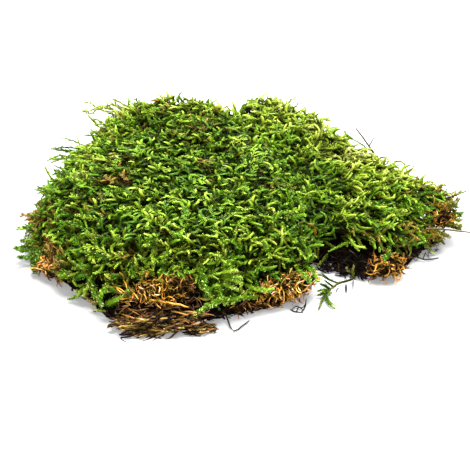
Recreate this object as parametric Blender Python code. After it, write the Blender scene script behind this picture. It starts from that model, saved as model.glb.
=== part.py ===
"""A torn piece of sheet moss, lying flat: the living green sheet, the litter it grew on, and what sticks out.

Written in millimetres and scaled to metres when each mesh is made. +X is the right side seen from the front,
+Y the back, +Z up. The sheet lies on the table, z = 0, and the origin is under the middle of its outline.
"""

import math
import random

import bmesh
import bpy
from mathutils import Matrix, Vector, noise
from mathutils.geometry import delaunay_2d_cdt

METRES = 0.001

# Driving dimensions, in millimetres
CROWN = 50.0          # highest shoot tips over the left lobe
LITTER_CROWN = 20.0   # thickness of the litter under the middle of the sheet
SHOULDER = 42.0       # how far in from the rim the sheet reaches its full height
TUFT_PITCH = 6.85    # spacing of the points of the top surface, a third of which are shoot tips
TUFT_RISE = 4.2       # how far a tuft's tip stands above the hollows round it
UNDER_PITCH = 15.0    # spacing of the points underneath, where the sheet is smooth
RIM_PITCH = 7.4       # spacing of the points round the rim
REACH = 170.0         # half the width of the table that the sheet covers
GAP = 0.3             # clearance between neighbouring solids
CREVICE = 1.2         # extra clearance between sheet and litter at the rim

# The sheet's rim, counter-clockwise: x, y, underside height, top height
SHEET_RIM = [
    (-86, -119, 9, 20), (-66, -120, 15, 27), (-46, -118, 17, 29), (-28, -120, 13, 25), (-4, -112, 9, 21),
    (16, -102, 8, 19), (37, -93, 7, 17), (49, -80, 8, 18), (47, -54, 15, 27), (61, -63, 19, 31),
    (80, -65, 17, 29), (102, -60, 10, 23), (117, -45, 6, 20), (134, -35, 8, 20), (150, -23, 10, 21),
    (152, -10, 12, 25), (137, 9, 10, 30), (113, 31, 9, 33), (92, 58, 8, 33), (70, 84, 8, 35),
    (52, 106, 8, 41), (28, 121, 8, 45), (5, 123, 8, 45), (-8, 115, 8, 38), (-33, 125, 8, 42),
    (-57, 127, 8, 43), (-86, 123, 8, 39), (-102, 117, 8, 33), (-114, 92, 7, 28), (-129, 60, 6, 25),
    (-141, 23, 5, 22), (-150, -13, 5, 18), (-151, -42, 4, 15), (-140, -64, 4, 14), (-124, -83, 4, 15),
    (-104, -106, 5, 17),
]

# The litter's rim on the table, counter-clockwise: x, y. It shows along the front and is bitten away at the
# notch
LITTER_RIM = [
    (-92, -118), (-74, -125), (-52, -125), (-30, -121), (-8, -115), (16, -106), (36, -96), (45, -80),
    (42, -56), (57, -52), (74, -65), (94, -69), (111, -56), (127, -38), (142, -20), (128, 4), (104, 27),
    (82, 54), (60, 80), (42, 100), (0, 112), (-50, 116), (-92, 112), (-107, 88), (-121, 57), (-132, 22),
    (-141, -14), (-142, -44), (-130, -69), (-113, -90),
]

# Where the top dips: the fold between the two lobes, the furrow along the right lobe, and shallow hollows.
# Each is a line of (x, y) points with a depth and a half width
DIPS = [
    ([(49, -70), (42, -52), (38, -20), (32, 26), (16, 66), (-6, 104)], 8.0, 9.0),
    ([(66, -12), (90, -20), (112, -28), (140, -22)], 6.0, 6.5),
    ([(-88, 66), (-50, 78)], 4.0, 18.0),
    ([(70, 40), (52, 62)], 4.0, 10.0),
]

LOBE_DROP = 9.0       # how much lower the right lobe lies than the left
LOBE_AT = 38.0        # x of the fold that parts the lobes
LOBE_BLEND = 40.0

# How the wall between the rim's top and underside is laid out: each band's share of the height and how far it
# is pulled in, and how far its tufts jut out
WALL_BANDS = [(0.74, 0.6), (0.47, 0.2), (0.2, 1.8)]
WALL_JUT = (1.0, 3.2)

# Small shoots that stick out all round the rim: how many, their usual and longest reach, and their thickness
FRINGE_COUNT = 44
FRINGE_REACH = 8.0
FRINGE_LONG = 13.0
FRINGE_THICK = 2.4

# Shoots that stand out from the rest, each a path of (x, y, z) points from inside the sheet to its tip, with
# its thickness. They stray from the back left, the left, the crest of the right lobe and the right tip
STRAYS = [
    ([(-88, 108, 34), (-101, 112, 39), (-114, 113, 41.5), (-127, 114, 41)], 3.4),
    ([(-94, 97, 26), (-105, 99, 30), (-113, 101, 34), (-119, 103, 37)], 2.4),
    ([(-99, 83, 24), (-112, 84.5, 30), (-124, 86, 31)], 2.2),
    ([(-114, 57, 24), (-127, 60, 31), (-137, 61.5, 35), (-147, 63, 32.5)], 2.6),
    ([(-118, 49, 24), (-131, 52, 30), (-141, 53, 30), (-149, 54, 26.5)], 3.0),
    ([(-119, 61, 25), (-123, 62, 31), (-125, 64, 38), (-128, 66, 44)], 1.5),
    ([(-128, 36, 22), (-137, 38, 26), (-144, 39.5, 29.5)], 2.0),
    ([(-136, 26, 20), (-144, 28, 27), (-147.5, 30, 33)], 2.4),
    ([(-136, 18, 20), (-144, 20, 23), (-153, 21, 21)], 2.6),
    ([(-142, -9, 11), (-152, -10.5, 16), (-161, -12, 15.5)], 3.0),
    ([(-146, -16, 9), (-156, -16.5, 11), (-166, -17, 11.5)], 2.4),
    ([(-142, -37, 8), (-151, -39.5, 13.5), (-158, -42, 15.5)], 3.4),
    ([(-144, -46, 7), (-153, -49, 8), (-161, -52, 12.5)], 3.0),
    ([(44, 96, 33), (56, 100, 35), (69, 102, 36)], 2.4),
    ([(94, 54, 24), (92, 60, 31), (86.5, 62, 37), (76, 65, 43)], 1.5),
    ([(118, 22, 20), (123, 36, 23), (119.5, 43, 30)], 1.1),
    ([(126, 14, 22), (137, 21, 24.5), (149, 20, 21)], 1.2),
    ([(134, -4, 23), (146, -3.5, 29), (158, -2, 30.5)], 2.2),
    ([(136, -9, 25), (147, -11.5, 27.5), (157, -12, 29.5)], 2.2),
]


def curve_point(a, b, c, d, t):
    """A point of the smooth curve from b to c, whose neighbours are a and d."""
    return tuple(
        0.5 * (2 * q + (r - p) * t + (2 * p - 5 * q + 4 * r - s) * t * t + (3 * q - p - 3 * r + s) * t ** 3)
        for p, q, r, s in zip(a, b, c, d)
    )


def closed_curve(points, pitch):
    """Evenly spaced points along the smooth closed curve through these points."""
    fine = []
    for i in range(len(points)):
        a, b, c, d = (points[(i + k) % len(points)] for k in (-1, 0, 1, 2))
        fine.extend(curve_point(a, b, c, d, step / 20) for step in range(20))
    lengths = [0.0]
    for p, q in zip(fine, fine[1:] + fine[:1]):
        lengths.append(lengths[-1] + math.dist(p[:2], q[:2]))
    count = round(lengths[-1] / pitch)
    spaced, i = [], 0
    for k in range(count):
        target = lengths[-1] * k / count
        while lengths[i + 1] < target:
            i += 1
        share = (target - lengths[i]) / (lengths[i + 1] - lengths[i])
        p, q = fine[i], fine[(i + 1) % len(fine)]
        spaced.append(tuple(u + (v - u) * share for u, v in zip(p, q)))
    return spaced


def distance_to_line(x, y, line):
    """How far a plan point is from a line of points."""
    nearest = math.inf
    for (ax, ay), (bx, by) in zip(line, line[1:]):
        dx, dy = bx - ax, by - ay
        share = max(0.0, min(1.0, ((x - ax) * dx + (y - ay) * dy) / (dx * dx + dy * dy)))
        nearest = min(nearest, math.hypot(x - ax - share * dx, y - ay - share * dy))
    return nearest


def is_inside(x, y, outline):
    """Whether a plan point lies inside a closed outline."""
    inside = False
    for p, q in zip(outline, outline[1:] + outline[:1]):
        if (p[1] > y) != (q[1] > y) and x < p[0] + (q[0] - p[0]) * (y - p[1]) / (q[1] - p[1]):
            inside = not inside
    return inside


def smooth_step(value):
    value = max(0.0, min(1.0, value))
    return value * value * (3 - 2 * value)


class Form:
    """The heights of the sheet over the table, worked out from its rim."""

    def __init__(self):
        self.rim = closed_curve(SHEET_RIM, RIM_PITCH)
        self.outline = [p[:2] for p in self.rim]

    def rim_heights(self, x, y):
        """The rim's underside and top heights near a plan point, and the distance to the rim."""
        low = high = total = 0.0
        nearest = math.inf
        for px, py, pl, ph in self.rim:
            away = math.hypot(x - px, y - py)
            nearest = min(nearest, away)
            weight = 1.0 / (away + 2.0) ** 3
            low += weight * pl
            high += weight * ph
            total += weight
        return low / total, high / total, nearest

    def rise(self, away):
        """0 at the rim, 1 past the shoulder."""
        return math.sin(math.pi / 2 * min(1.0, away / SHOULDER)) ** 0.8

    def under(self, x, y):
        """The height of the sheet's underside."""
        low, _, away = self.rim_heights(x, y)
        return low + (LITTER_CROWN - low) * smooth_step(away / SHOULDER)

    def litter_top(self, x, y):
        """The height of the litter under the sheet, with a crevice along the rim."""
        _, _, away = self.rim_heights(x, y)
        inner = smooth_step(away / SHOULDER) if is_inside(x, y, self.outline) else 0.0
        return self.under(x, y) - GAP - CREVICE * (1 - inner)

    def top(self, x, y):
        """The height of the sheet's top, without its tufts."""
        _, high, away = self.rim_heights(x, y)
        crown = CROWN - TUFT_RISE - LOBE_DROP * smooth_step((x - LOBE_AT) / LOBE_BLEND + 0.5)
        height = high + (crown - high) * self.rise(away)
        for line, depth, half_width in DIPS:
            height -= depth * math.exp(-((distance_to_line(x, y, line) / half_width) ** 2))
        return height + 2.2 * noise.noise(Vector((x / 34, y / 34, 0.0)))

    def facing(self, x, y):
        """The direction that the top faces at a plan point."""
        slope_x = (self.top(x + 2, y) - self.top(x - 2, y)) / 4
        slope_y = (self.top(x, y + 2) - self.top(x, y - 2)) / 4
        return Vector((-slope_x, -slope_y, 1.0)).normalized()


def lattice(outline, pitch, seed):
    """The points of a triangular lattice that lie inside an outline, each a little out of place, and whether
    each is a tip. The lattice covers the whole table, so two outlines share the points that both hold."""
    rng = random.Random(seed)
    found = []
    closed = outline + outline[:1]
    row_height = pitch * math.sqrt(3) / 2
    for row in range(int(2 * REACH / row_height)):
        for column in range(int(2 * REACH / pitch)):
            x = (column + 0.5 * (row % 2) + rng.uniform(-0.2, 0.2)) * pitch - REACH
            y = (row + rng.uniform(-0.2, 0.2)) * row_height - REACH
            if is_inside(x, y, outline) and distance_to_line(x, y, closed) > 0.6 * pitch:
                found.append((x, y, (column - row // 2 - row) % 3 == 0))
    return found


def filled(outline, inner):
    """Triangles, as counter-clockwise point numbers, that fill an outline through the inner points."""
    flat = [Vector(p[:2]) for p in outline] + [Vector(p[:2]) for p in inner]
    _, _, faces, originals, _, _ = delaunay_2d_cdt(flat, [], [list(range(len(outline)))], 1, 1e-5)
    triangles = []
    for face in faces:
        a, b, c = (originals[v][0] for v in face)
        turn = (flat[b] - flat[a]).cross(flat[c] - flat[a])
        triangles.append((a, b, c) if turn > 0 else (a, c, b))
    return triangles


def material(name, colour, roughness):
    made = bpy.data.materials.new(name)
    made.use_nodes = True
    shader = made.node_tree.nodes["Principled BSDF"]
    shader.inputs["Base Color"].default_value = (*colour, 1.0)
    shader.inputs["Roughness"].default_value = roughness
    shader.inputs["Metallic"].default_value = 0.0
    return made


def add_object(name, points, faces, surface, parent):
    """A named object from points in millimetres."""
    mesh = bpy.data.meshes.new(name)
    mesh.from_pydata([Vector(p) * METRES for p in points], [], faces)
    mesh.update()
    made = bpy.data.objects.new(name, mesh)
    made.data.materials.append(surface)
    made.parent = parent
    bpy.context.scene.collection.objects.link(made)
    return made


def slab(top_points, top_faces, bands, under_points, under_faces):
    """Points and faces of a closed slab. Every band is a ring of as many points as the rim of the top."""
    count = len(bands[0])
    points = list(top_points)
    faces = [tuple(f) for f in top_faces]
    above = list(range(count))
    for band in bands:
        ring = list(range(len(points), len(points) + count))
        points.extend(band)
        for k in range(count):
            following = (k + 1) % count
            faces.append((above[k], ring[k], ring[following]))
            faces.append((above[k], ring[following], above[following]))
        above = ring
    start = len(points)
    points.extend(under_points[count:])
    place = above + list(range(start, len(points)))
    faces.extend(tuple(place[v] for v in reversed(f)) for f in under_faces)
    return points, faces


def pulled_in(ring, amounts):
    """A ring of plan points moved inwards at right angles to it, all alike or each by its own amount."""
    if not isinstance(amounts, list):
        amounts = [amounts] * len(ring)
    moved = []
    for k, ((x, y), amount) in enumerate(zip(ring, amounts)):
        before, after = ring[k - 1], ring[(k + 1) % len(ring)]
        along = Vector((after[0] - before[0], after[1] - before[1])).normalized()
        moved.append((x - along.y * amount, y + along.x * amount))
    return moved


def make_sheet(form, surface, parent):
    """The living sheet: a tufted top, a rounded rim and a smooth underside."""
    rng = random.Random(11)
    rim = form.rim
    inner = lattice(form.outline, TUFT_PITCH, seed=3)
    ring_top = pulled_in(form.outline, 2.0)
    top_points = [(x, y, p[3]) for (x, y), p in zip(ring_top, rim)]
    for x, y, is_tip in inner:
        lift = rng.uniform(0.4, 1.0) * TUFT_RISE if is_tip else rng.uniform(-0.8, 0.8)
        lean = Vector((rng.uniform(-1.6, 1.6), rng.uniform(-2.0, 1.2), 0.0)) if is_tip else Vector()
        top_points.append(Vector((x, y, form.top(x, y))) + form.facing(x, y) * lift + lean)
    bands = []
    for level, (share, pull) in enumerate(WALL_BANDS):
        juts = [
            pull - (rng.uniform(*WALL_JUT) if (k + level) % 2 else rng.uniform(-0.8, 0.6))
            for k in range(len(rim))
        ]
        bands.append([
            (x, y, low + (high - low) * (share + rng.uniform(-0.05, 0.05)))
            for (x, y), (_, _, low, high) in zip(pulled_in(form.outline, juts), rim)
        ])
    ring_low = pulled_in(form.outline, 3.5)
    low_points = [(x, y, form.under(x, y)) for x, y in ring_low]
    under = lattice(ring_low, UNDER_PITCH, seed=5)
    under_points = low_points + [(x, y, form.under(x, y)) for x, y, _ in under]
    points, faces = slab(
        top_points, filled(ring_top, inner), [*bands, low_points], under_points, filled(ring_low, under),
    )
    return add_object("moss_sheet", points, faces, surface, parent)


def make_litter(form, surface, parent):
    """The brown litter under the sheet: flat on the table, ragged where it shows."""
    rng = random.Random(21)
    rim = closed_curve(LITTER_RIM, RIM_PITCH * 1.25)
    ragged = [(x + rng.uniform(-1.6, 1.6), y + rng.uniform(-1.6, 1.6)) for x, y in rim]
    ring_top = pulled_in(ragged, 2.6)
    ring_under = pulled_in(ragged, 1.4)
    inner = lattice(ring_top, UNDER_PITCH, seed=5)
    under = lattice(ring_under, UNDER_PITCH * 1.6, seed=7)
    top_points = [(x, y, form.litter_top(x, y) - 1.0) for x, y in ring_top]
    top_points += [(x, y, form.litter_top(x, y)) for x, y, _ in inner]
    bulge = [(x, y, 0.42 * form.litter_top(x, y)) for x, y in ragged]
    under_points = [(x, y, 0.0) for x, y in ring_under] + [(x, y, 0.0) for x, y, _ in under]
    points, faces = slab(
        top_points,
        filled(ring_top, inner),
        [bulge, under_points[: len(ragged)]],
        under_points,
        filled(ring_under, under),
    )
    return add_object("litter_mat", points, faces, surface, parent)


def spike(path, radii, sides=4):
    """Points and faces of a closed tapering shoot along a path that ends in a point."""
    points, faces = [], []
    climbs = abs((Vector(path[-1]) - Vector(path[0])).normalized().z) > 0.7
    reference = Vector((1.0, 0.2, 0.1)) if climbs else Vector((0.13, 0.21, 1.0))
    for k, (at, radius) in enumerate(zip(path, radii)):
        ahead = (Vector(path[k + 1]) - Vector(path[k])).normalized()
        across = ahead.cross(reference).normalized()
        upward = across.cross(ahead)
        for side in range(sides):
            turn = 2 * math.pi * (side + 0.5 * (k % 2)) / sides
            points.append(Vector(at) + radius * (across * math.cos(turn) + upward * math.sin(turn)))
    for k in range(len(radii) - 1):
        for side in range(sides):
            following = (side + 1) % sides
            a, b = k * sides + side, k * sides + following
            faces.append((a, b, b + sides))
            faces.append((a, b + sides, a + sides))
    tip = len(points)
    points.append(Vector(path[-1]))
    last = (len(radii) - 1) * sides
    faces.extend((last + side, last + (side + 1) % sides, tip) for side in range(sides))
    faces.append(tuple(reversed(range(sides))))
    return points, faces


def outward(mesh_points, mesh_faces):
    """The same faces, turned round where the closed shape they make is inside out."""
    work = bmesh.new()
    made = [work.verts.new(p) for p in mesh_points]
    for face in mesh_faces:
        work.faces.new([made[v] for v in face])
    bmesh.ops.recalc_face_normals(work, faces=work.faces)
    work.verts.index_update()
    turned = [tuple(v.index for v in face.verts) for face in work.faces]
    work.free()
    return turned


def shoot_path(start, heading, length, droop, steps):
    """A path that leaves along a heading and bends down, or up where droop is negative."""
    heading = Vector(heading).normalized()
    path, at = [Vector(start)], Vector(start)
    for _ in range(steps):
        heading = (heading + Vector((0, 0, -droop / steps))).normalized()
        at = at + heading * (length / steps)
        path.append(at.copy())
    return path


def join_into(body, cutters, operation):
    """Unites the closed shapes with a body, or cuts them out of it."""
    group = bpy.data.collections.new(body.name + "_" + operation.lower())
    bpy.context.scene.collection.children.link(group)
    group.hide_render = True
    for shape in cutters:
        bpy.context.scene.collection.objects.unlink(shape)
        group.objects.link(shape)
        shape.hide_render = True
        shape.display_type = "WIRE"
    modifier = body.modifiers.new(operation.lower(), "BOOLEAN")
    modifier.operation = operation
    modifier.solver = "EXACT"
    modifier.operand_type = "COLLECTION"
    modifier.collection = group


def near_dead_tuft(path):
    """Whether a path of a shoot comes close to one of the dead tufts, whose pocket would cut it off."""
    for _, middle, half_sizes, turn in DEAD_TUFTS:
        back = Matrix.Rotation(math.radians(-turn), 3, "Z")
        for point in path:
            away = back @ (point - Vector(middle))
            if sum((u / (v * 1.3 + 4.0)) ** 2 for u, v in zip(away, half_sizes)) < 1.0:
                return True
    return False


def fringe_shapes(form, surface, parent):
    """The shoots that stick out past the rim: the named strays, and small ones all round."""
    rng = random.Random(31)
    made = []
    for k, (path, thick) in enumerate(STRAYS):
        finer = bent(path, 2)
        radii = [thick * (0.75 if j % 2 else 1.0) for j in range(len(finer) - 1)]
        points, faces = spike([Vector(p) for p in finer], radii)
        made.append(add_object(f"stray_shape_{k}", points, outward(points, faces), surface, parent))
    count = len(form.rim)
    middle = Vector((0.0, 0.0))
    for k in range(FRINGE_COUNT):
        x, y, low, high = form.rim[int(count * (k + rng.uniform(0.1, 0.9)) / FRINGE_COUNT) % count]
        outwards = (Vector((x, y)) - middle).normalized()
        turn = rng.uniform(-0.7, 0.7)
        heading = Vector((
            outwards.x * math.cos(turn) - outwards.y * math.sin(turn),
            outwards.x * math.sin(turn) + outwards.y * math.cos(turn),
            rng.uniform(-0.15, 0.35),
        )).normalized()
        is_shaggy = abs(x) > 95
        reach = rng.uniform(0.6, 1.1) * FRINGE_REACH
        if is_shaggy and rng.random() < 0.5:
            reach = rng.uniform(0.6, 0.9) * FRINGE_LONG
        height = low + (high - low) * rng.uniform(0.45, 0.9)
        start = Vector((x, y, height)) - Vector((heading.x, heading.y, 0)) * 7.0
        path = shoot_path(start, heading, reach + 7.0, rng.uniform(0.0, 0.5), 4)
        thick = FRINGE_THICK * rng.uniform(0.8, 1.2)
        if min(p.z for p in path) < thick + 1.0 or near_dead_tuft(path):
            continue
        radii = [thick * share for share in (0.7, 1.15, 0.7, 0.9)]
        points, faces = spike(path, radii)
        made.append(add_object(f"fringe_shape_{k}", points, outward(points, faces), surface, parent))
    return made


def grown(points, by):
    """Points moved away from their middle, as for the pocket that holds a piece."""
    middle = sum((Vector(p) for p in points), Vector()) / len(points)
    return [Vector(p) + (Vector(p) - middle).normalized() * by for p in points]


# Tufts of dead, curled stems that show at the rim: name, middle, half sizes, turn about Z in degrees
DEAD_TUFTS = [
    ("dead_tuft_left", (-135, -66, 8.5), (7, 14, 7), 32),
    ("dead_tuft_front", (-50, -115, 21), (23, 9, 10), 2),
    ("dead_tuft_middle", (28, -97, 13), (24, 7, 7), 22),
    ("dead_tuft_foot", (98, -66, 8), (14, 9, 8), 20),
    ("dead_tuft_tip", (139, -19, 20), (11, 9, 8), -40),
]


def make_dead_tuft(name, middle, half_sizes, turn, seed, surface, parent):
    """A lumpy clump of dead stems, and the pocket that it sits in."""
    work = bmesh.new()
    bmesh.ops.create_icosphere(work, subdivisions=2, radius=1.0)
    spin = Matrix.Rotation(math.radians(turn), 3, "Z")
    shift = Vector((seed * 7.0, 0.0, 0.0))
    points = []
    for v in work.verts:
        lump = 1.0 + 0.22 * noise.noise(v.co * 2.6 + shift) + 0.07 * noise.noise(v.co * 7.0 + shift)
        shaped = Vector((v.co.x * half_sizes[0], v.co.y * half_sizes[1], v.co.z * half_sizes[2])) * lump
        placed = spin @ shaped + Vector(middle)
        placed.z = max(placed.z, 0.5)
        points.append(placed)
    work.verts.index_update()
    faces = [tuple(v.index for v in face.verts) for face in work.faces]
    work.free()
    tuft = add_object(name, points, faces, surface, parent)
    pockets = [
        add_object(f"{name}_pocket_{k}", grown(points, 0.45), faces, surface, parent) for k in range(2)
    ]
    return tuft, pockets


# Flakes of bark and rotten wood under the front left corner: middle, length, width, thickness, turn, tilt
BARK_FLAKES = [
    ((-63, -133.0, 1.7), 40, 10, 2.6, 3, 0),
    ((-46, -133.5, 5.8), 30, 9, 2.4, 8, 2),
    ((-78, -130, 5.7), 25, 9, 2.4, -8, -1),
    ((-30, -130.5, 1.7), 24, 9, 2.6, 16, 0),
    ((-61, -131.5, 10.2), 28, 8, 2.2, -3, 2),
]


def make_flake(index, middle, length, width, thickness, turn, tilt, surface, parent):
    """A thin splintered flake: a ragged outline with a bottom and a top, bent a little along its length."""
    rng = random.Random(51 + index)
    steps = 7
    left, right = [], []
    for k in range(steps):
        share = k / (steps - 1)
        half = 0.5 * width * math.sin(math.pi * (0.12 + 0.76 * share)) ** 0.6
        x = (share - 0.5) * length
        left.append((x + rng.uniform(-1.2, 1.2), half + rng.uniform(-1.0, 0.6)))
        right.append((x + rng.uniform(-1.2, 1.2), -half + rng.uniform(-0.6, 1.0)))
    outline = right + left[::-1]
    count = len(outline)
    place = (
        Matrix.Translation(Vector(middle))
        @ Matrix.Rotation(math.radians(turn), 4, "Z")
        @ Matrix.Rotation(math.radians(-tilt), 4, "Y")
    )
    points = []
    for side in (-0.5, 0.5):
        for x, y in outline:
            bend = 1.2 * (x / length) ** 2
            points.append(place @ Vector((x, y, side * thickness * rng.uniform(0.75, 1.0) + bend)))
    faces = []
    for k in range(steps - 1):
        quad = (k, k + 1, count - 2 - k, count - 1 - k)
        faces.append(tuple(reversed(quad)))
        faces.append(tuple(v + count for v in quad))
    for k in range(count):
        following = (k + 1) % count
        faces.append((k, following, following + count, k + count))
    return add_object(f"bark_flake_{index + 1}", points, outward(points, faces), surface, parent)


# Thin stems: name, path, radius at the root, side branch (where it leaves, its tip) or None
STEMS = [
    ("straw_right", [(128, -36, 21), (139, -36, 20.5), (150, -35, 18.5), (160, -34, 16.5)], 0.9, None),
    (
        "stem_back", [(103, 49, 27), (95.7, 55, 35.4), (89.8, 61, 42), (84.6, 65, 47.6)], 0.9,
        ((94.3, 56.5, 37), (97.7, 60, 41.7)),
    ),
    (
        "rootlet_front", [(-14, -112, 5), (-12, -121, 2.6), (-8, -132, 1.2), (-2, -126, 1.4), (2, -121, 1.4)],
        0.7, None,
    ),
    (
        "twig_right", [(110, -30, 7), (118, -42, 4), (127, -47, 2), (137, -44, 1.4)], 0.8,
        ((126, -46.6, 2.2), (127, -49, 9)),
    ),
]


def tube(path, radius, sides=5):
    """Points and faces of a closed round stem that thins towards its end."""
    radii = [radius * (1 - 0.45 * k / len(path)) for k in range(len(path))]
    ahead = (Vector(path[-1]) - Vector(path[-2])).normalized()
    return spike([Vector(p) for p in path] + [Vector(path[-1]) + ahead * 1.5], radii, sides)


def bent(path, steps):
    """A finer path through these points."""
    padded = [path[0]] + list(path) + [path[-1]]
    fine = []
    for k in range(len(path) - 1):
        fine.extend(curve_point(*padded[k: k + 4], step / steps) for step in range(steps))
    return [*fine, path[-1]]


def make_stem(name, path, radius, branch, surface, parent):
    """A stem, and the holes that it leaves in what it grows out of."""
    way = [Vector(p) for p in bent(path, 2)]
    points, faces = tube(way, radius)
    stem = add_object(name, points, outward(points, faces), surface, parent)
    if branch:
        root, tip = branch
        halfway = [(u + v) / 2 for u, v in zip(root, tip)]
        side_points, side_faces = tube([root, halfway, tip], radius * 0.7)
        side = add_object(name + "_fork", side_points, outward(side_points, side_faces), surface, parent)
        join_into(stem, [side], "UNION")
    holes = []
    deeper = [way[0] + (way[0] - way[1]).normalized(), *way[1:]]
    for k in range(2):
        points, faces = tube(deeper, radius + 0.5)
        holes.append(add_object(f"{name}_hole_{k}", points, outward(points, faces), surface, parent))
    return stem, holes


# The loose frond that lies in front of the right lobe: its stem, and the tips of its branches
FROND_STEM = [(75, -75, 7), (69, -78, 6), (62, -82, 5), (56, -90, 4.2)]
FROND_TIPS = [
    (44, -90, 3.0), (48, -101, 2.6), (60, -105, 2.6), (47, -80, 5.0), (56, -79, 9.0), (47, -75, 9.0),
]
FROND_THICK = 2.1


def make_frond(surface, parent):
    """A small branched shoot, its branches united with its stem."""
    points, faces = tube(bent(FROND_STEM, 3), 1.1)
    frond = add_object("stray_frond", points, outward(points, faces), surface, parent)
    branches = []
    for k, tip in enumerate(FROND_TIPS):
        root = Vector(FROND_STEM[-1]) if k < 4 else Vector(FROND_STEM[2])
        ahead = Vector(tip) - root
        path = [root - ahead.normalized() * 0.8] + [root + ahead * share for share in (0.3, 0.65, 1.0)]
        radii = [FROND_THICK * share for share in (0.6, 1.0, 0.62)]
        points, faces = spike(path, radii)
        branches.append(add_object(f"frond_branch_{k}", points, outward(points, faces), surface, parent))
    join_into(frond, branches, "UNION")
    return frond


def centre_on_origin(frame):
    """Moves everything so that the middle of its outline is over the origin."""
    bpy.context.view_layer.update()
    graph = bpy.context.evaluated_depsgraph_get()
    corners = []
    for obj in bpy.context.scene.objects:
        if obj.type == "MESH" and not obj.hide_render:
            shown = obj.evaluated_get(graph)
            corners.extend(shown.matrix_world @ v.co for v in shown.to_mesh().vertices)
            shown.to_mesh_clear()
    for axis in (0, 1):
        values = [c[axis] for c in corners]
        frame.location[axis] -= (min(values) + max(values)) / 2


def main():
    for obj in list(bpy.data.objects):
        bpy.data.objects.remove(obj)
    frame = bpy.data.objects.new("moss_frame", None)
    bpy.context.scene.collection.objects.link(frame)

    green = material("living moss", (0.16, 0.26, 0.03), 0.6)
    brown = material("leaf litter", (0.13, 0.075, 0.035), 0.9)
    rust = material("dead stems", (0.32, 0.17, 0.05), 0.85)
    bark = material("rotten bark", (0.17, 0.09, 0.045), 0.85)
    straw = material("dry stem", (0.10, 0.07, 0.035), 0.7)

    form = Form()
    sheet = make_sheet(form, green, frame)
    litter = make_litter(form, brown, frame)
    join_into(sheet, fringe_shapes(form, green, frame), "UNION")

    sheet_cuts, litter_cuts = [], []
    for seed, (name, middle, half_sizes, turn) in enumerate(DEAD_TUFTS):
        _, (first, second) = make_dead_tuft(name, middle, half_sizes, turn, seed, rust, frame)
        sheet_cuts.append(first)
        litter_cuts.append(second)
    for name, path, radius, branch in STEMS:
        _, (first, second) = make_stem(name, path, radius, branch, straw, frame)
        sheet_cuts.append(first)
        litter_cuts.append(second)
    join_into(sheet, sheet_cuts, "DIFFERENCE")
    join_into(litter, litter_cuts, "DIFFERENCE")

    for index, flake in enumerate(BARK_FLAKES):
        make_flake(index, *flake, bark, frame)
    make_frond(green, frame)
    centre_on_origin(frame)


main()
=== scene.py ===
# %% [markdown]
# Sheet moss.
# The object is a torn piece of sheet moss that lies on a white table. A real sheet is thousands of small
# leafy shoots, felted together over brown litter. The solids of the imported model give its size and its
# forms. This lesson grows the shoots, the dead stems, the litter and the bark on them.

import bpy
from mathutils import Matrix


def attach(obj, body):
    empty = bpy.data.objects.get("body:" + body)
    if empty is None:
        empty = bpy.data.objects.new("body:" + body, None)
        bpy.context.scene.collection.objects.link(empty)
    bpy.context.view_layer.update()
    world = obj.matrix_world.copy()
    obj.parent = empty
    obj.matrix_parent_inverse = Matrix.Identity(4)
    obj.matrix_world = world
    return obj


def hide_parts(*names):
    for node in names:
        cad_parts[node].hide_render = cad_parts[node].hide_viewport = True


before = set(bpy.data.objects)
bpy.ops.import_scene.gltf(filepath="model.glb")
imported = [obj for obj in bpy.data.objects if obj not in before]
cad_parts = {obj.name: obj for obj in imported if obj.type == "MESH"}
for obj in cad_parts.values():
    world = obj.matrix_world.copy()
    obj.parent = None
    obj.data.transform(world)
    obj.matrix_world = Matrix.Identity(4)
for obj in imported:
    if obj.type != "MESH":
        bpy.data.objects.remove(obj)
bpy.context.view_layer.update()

# %% Tools of this lesson
import math
import random

import bmesh
import bpy
import numpy as np
from mathutils import Matrix, Vector, noise

MM = 0.001
# From the middle of the sheet's own drawing to the middle of its outline, in millimetres
SHIFT = Vector((2.27, 1.94, 0.0))
# The lowest that anything reaches, in metres, so that it stays clear of the table
TABLE_TOP = 0.0002


def at(x, y, z):
    """A place in the drawing of the sheet, in millimetres, as a place in the model."""
    return (Vector((x, y, z)) + SHIFT) * MM


def add_object(name, data):
    """A new object with this data, in the scene."""
    made = bpy.data.objects.new(name, data)
    bpy.context.scene.collection.objects.link(made)
    return made


def new_material(name, roughness, specular):
    """A material, its node tree and the inputs of its shader."""
    made = bpy.data.materials.new(name)
    made.use_nodes = True
    inputs = made.node_tree.nodes["Principled BSDF"].inputs
    inputs["Roughness"].default_value = roughness
    inputs["Specular IOR Level"].default_value = specular
    return made, made.node_tree, inputs


# %% [markdown]
# Camera.
# The photograph looks down at the moss from the front, about 32 degrees above the table, from a metre away.
# At that distance a lens of 109 mm frames the piece with some white table round it.

# %% Camera
CAMERA_ELEVATION = math.radians(32)
CAMERA_DISTANCE = 1.0
CAMERA_AIM = at(-7, -43, 20)
LENS, SENSOR = 109, 36  # millimetres

camera_data = bpy.data.cameras.new("camera")
camera_data.lens = LENS
camera_data.sensor_width = SENSOR
camera_data.clip_end = 20
camera = add_object("camera", camera_data)
back = Vector((0, -math.cos(CAMERA_ELEVATION), math.sin(CAMERA_ELEVATION)))
camera.location = CAMERA_AIM + back * CAMERA_DISTANCE
camera.rotation_euler = (math.pi / 2 - CAMERA_ELEVATION, 0, 0)
bpy.context.scene.camera = camera
print("camera at", tuple(round(v, 3) for v in camera.location))

# %% [markdown]
# Table and light.
# The table is a plain white sheet that shows almost no edge. The light is a large soft panel overhead, a
# second one behind and to the right, which puts the faint shadow at the left front, a weaker one in front
# that lifts the front edge, and a white sky that fills in.

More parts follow.
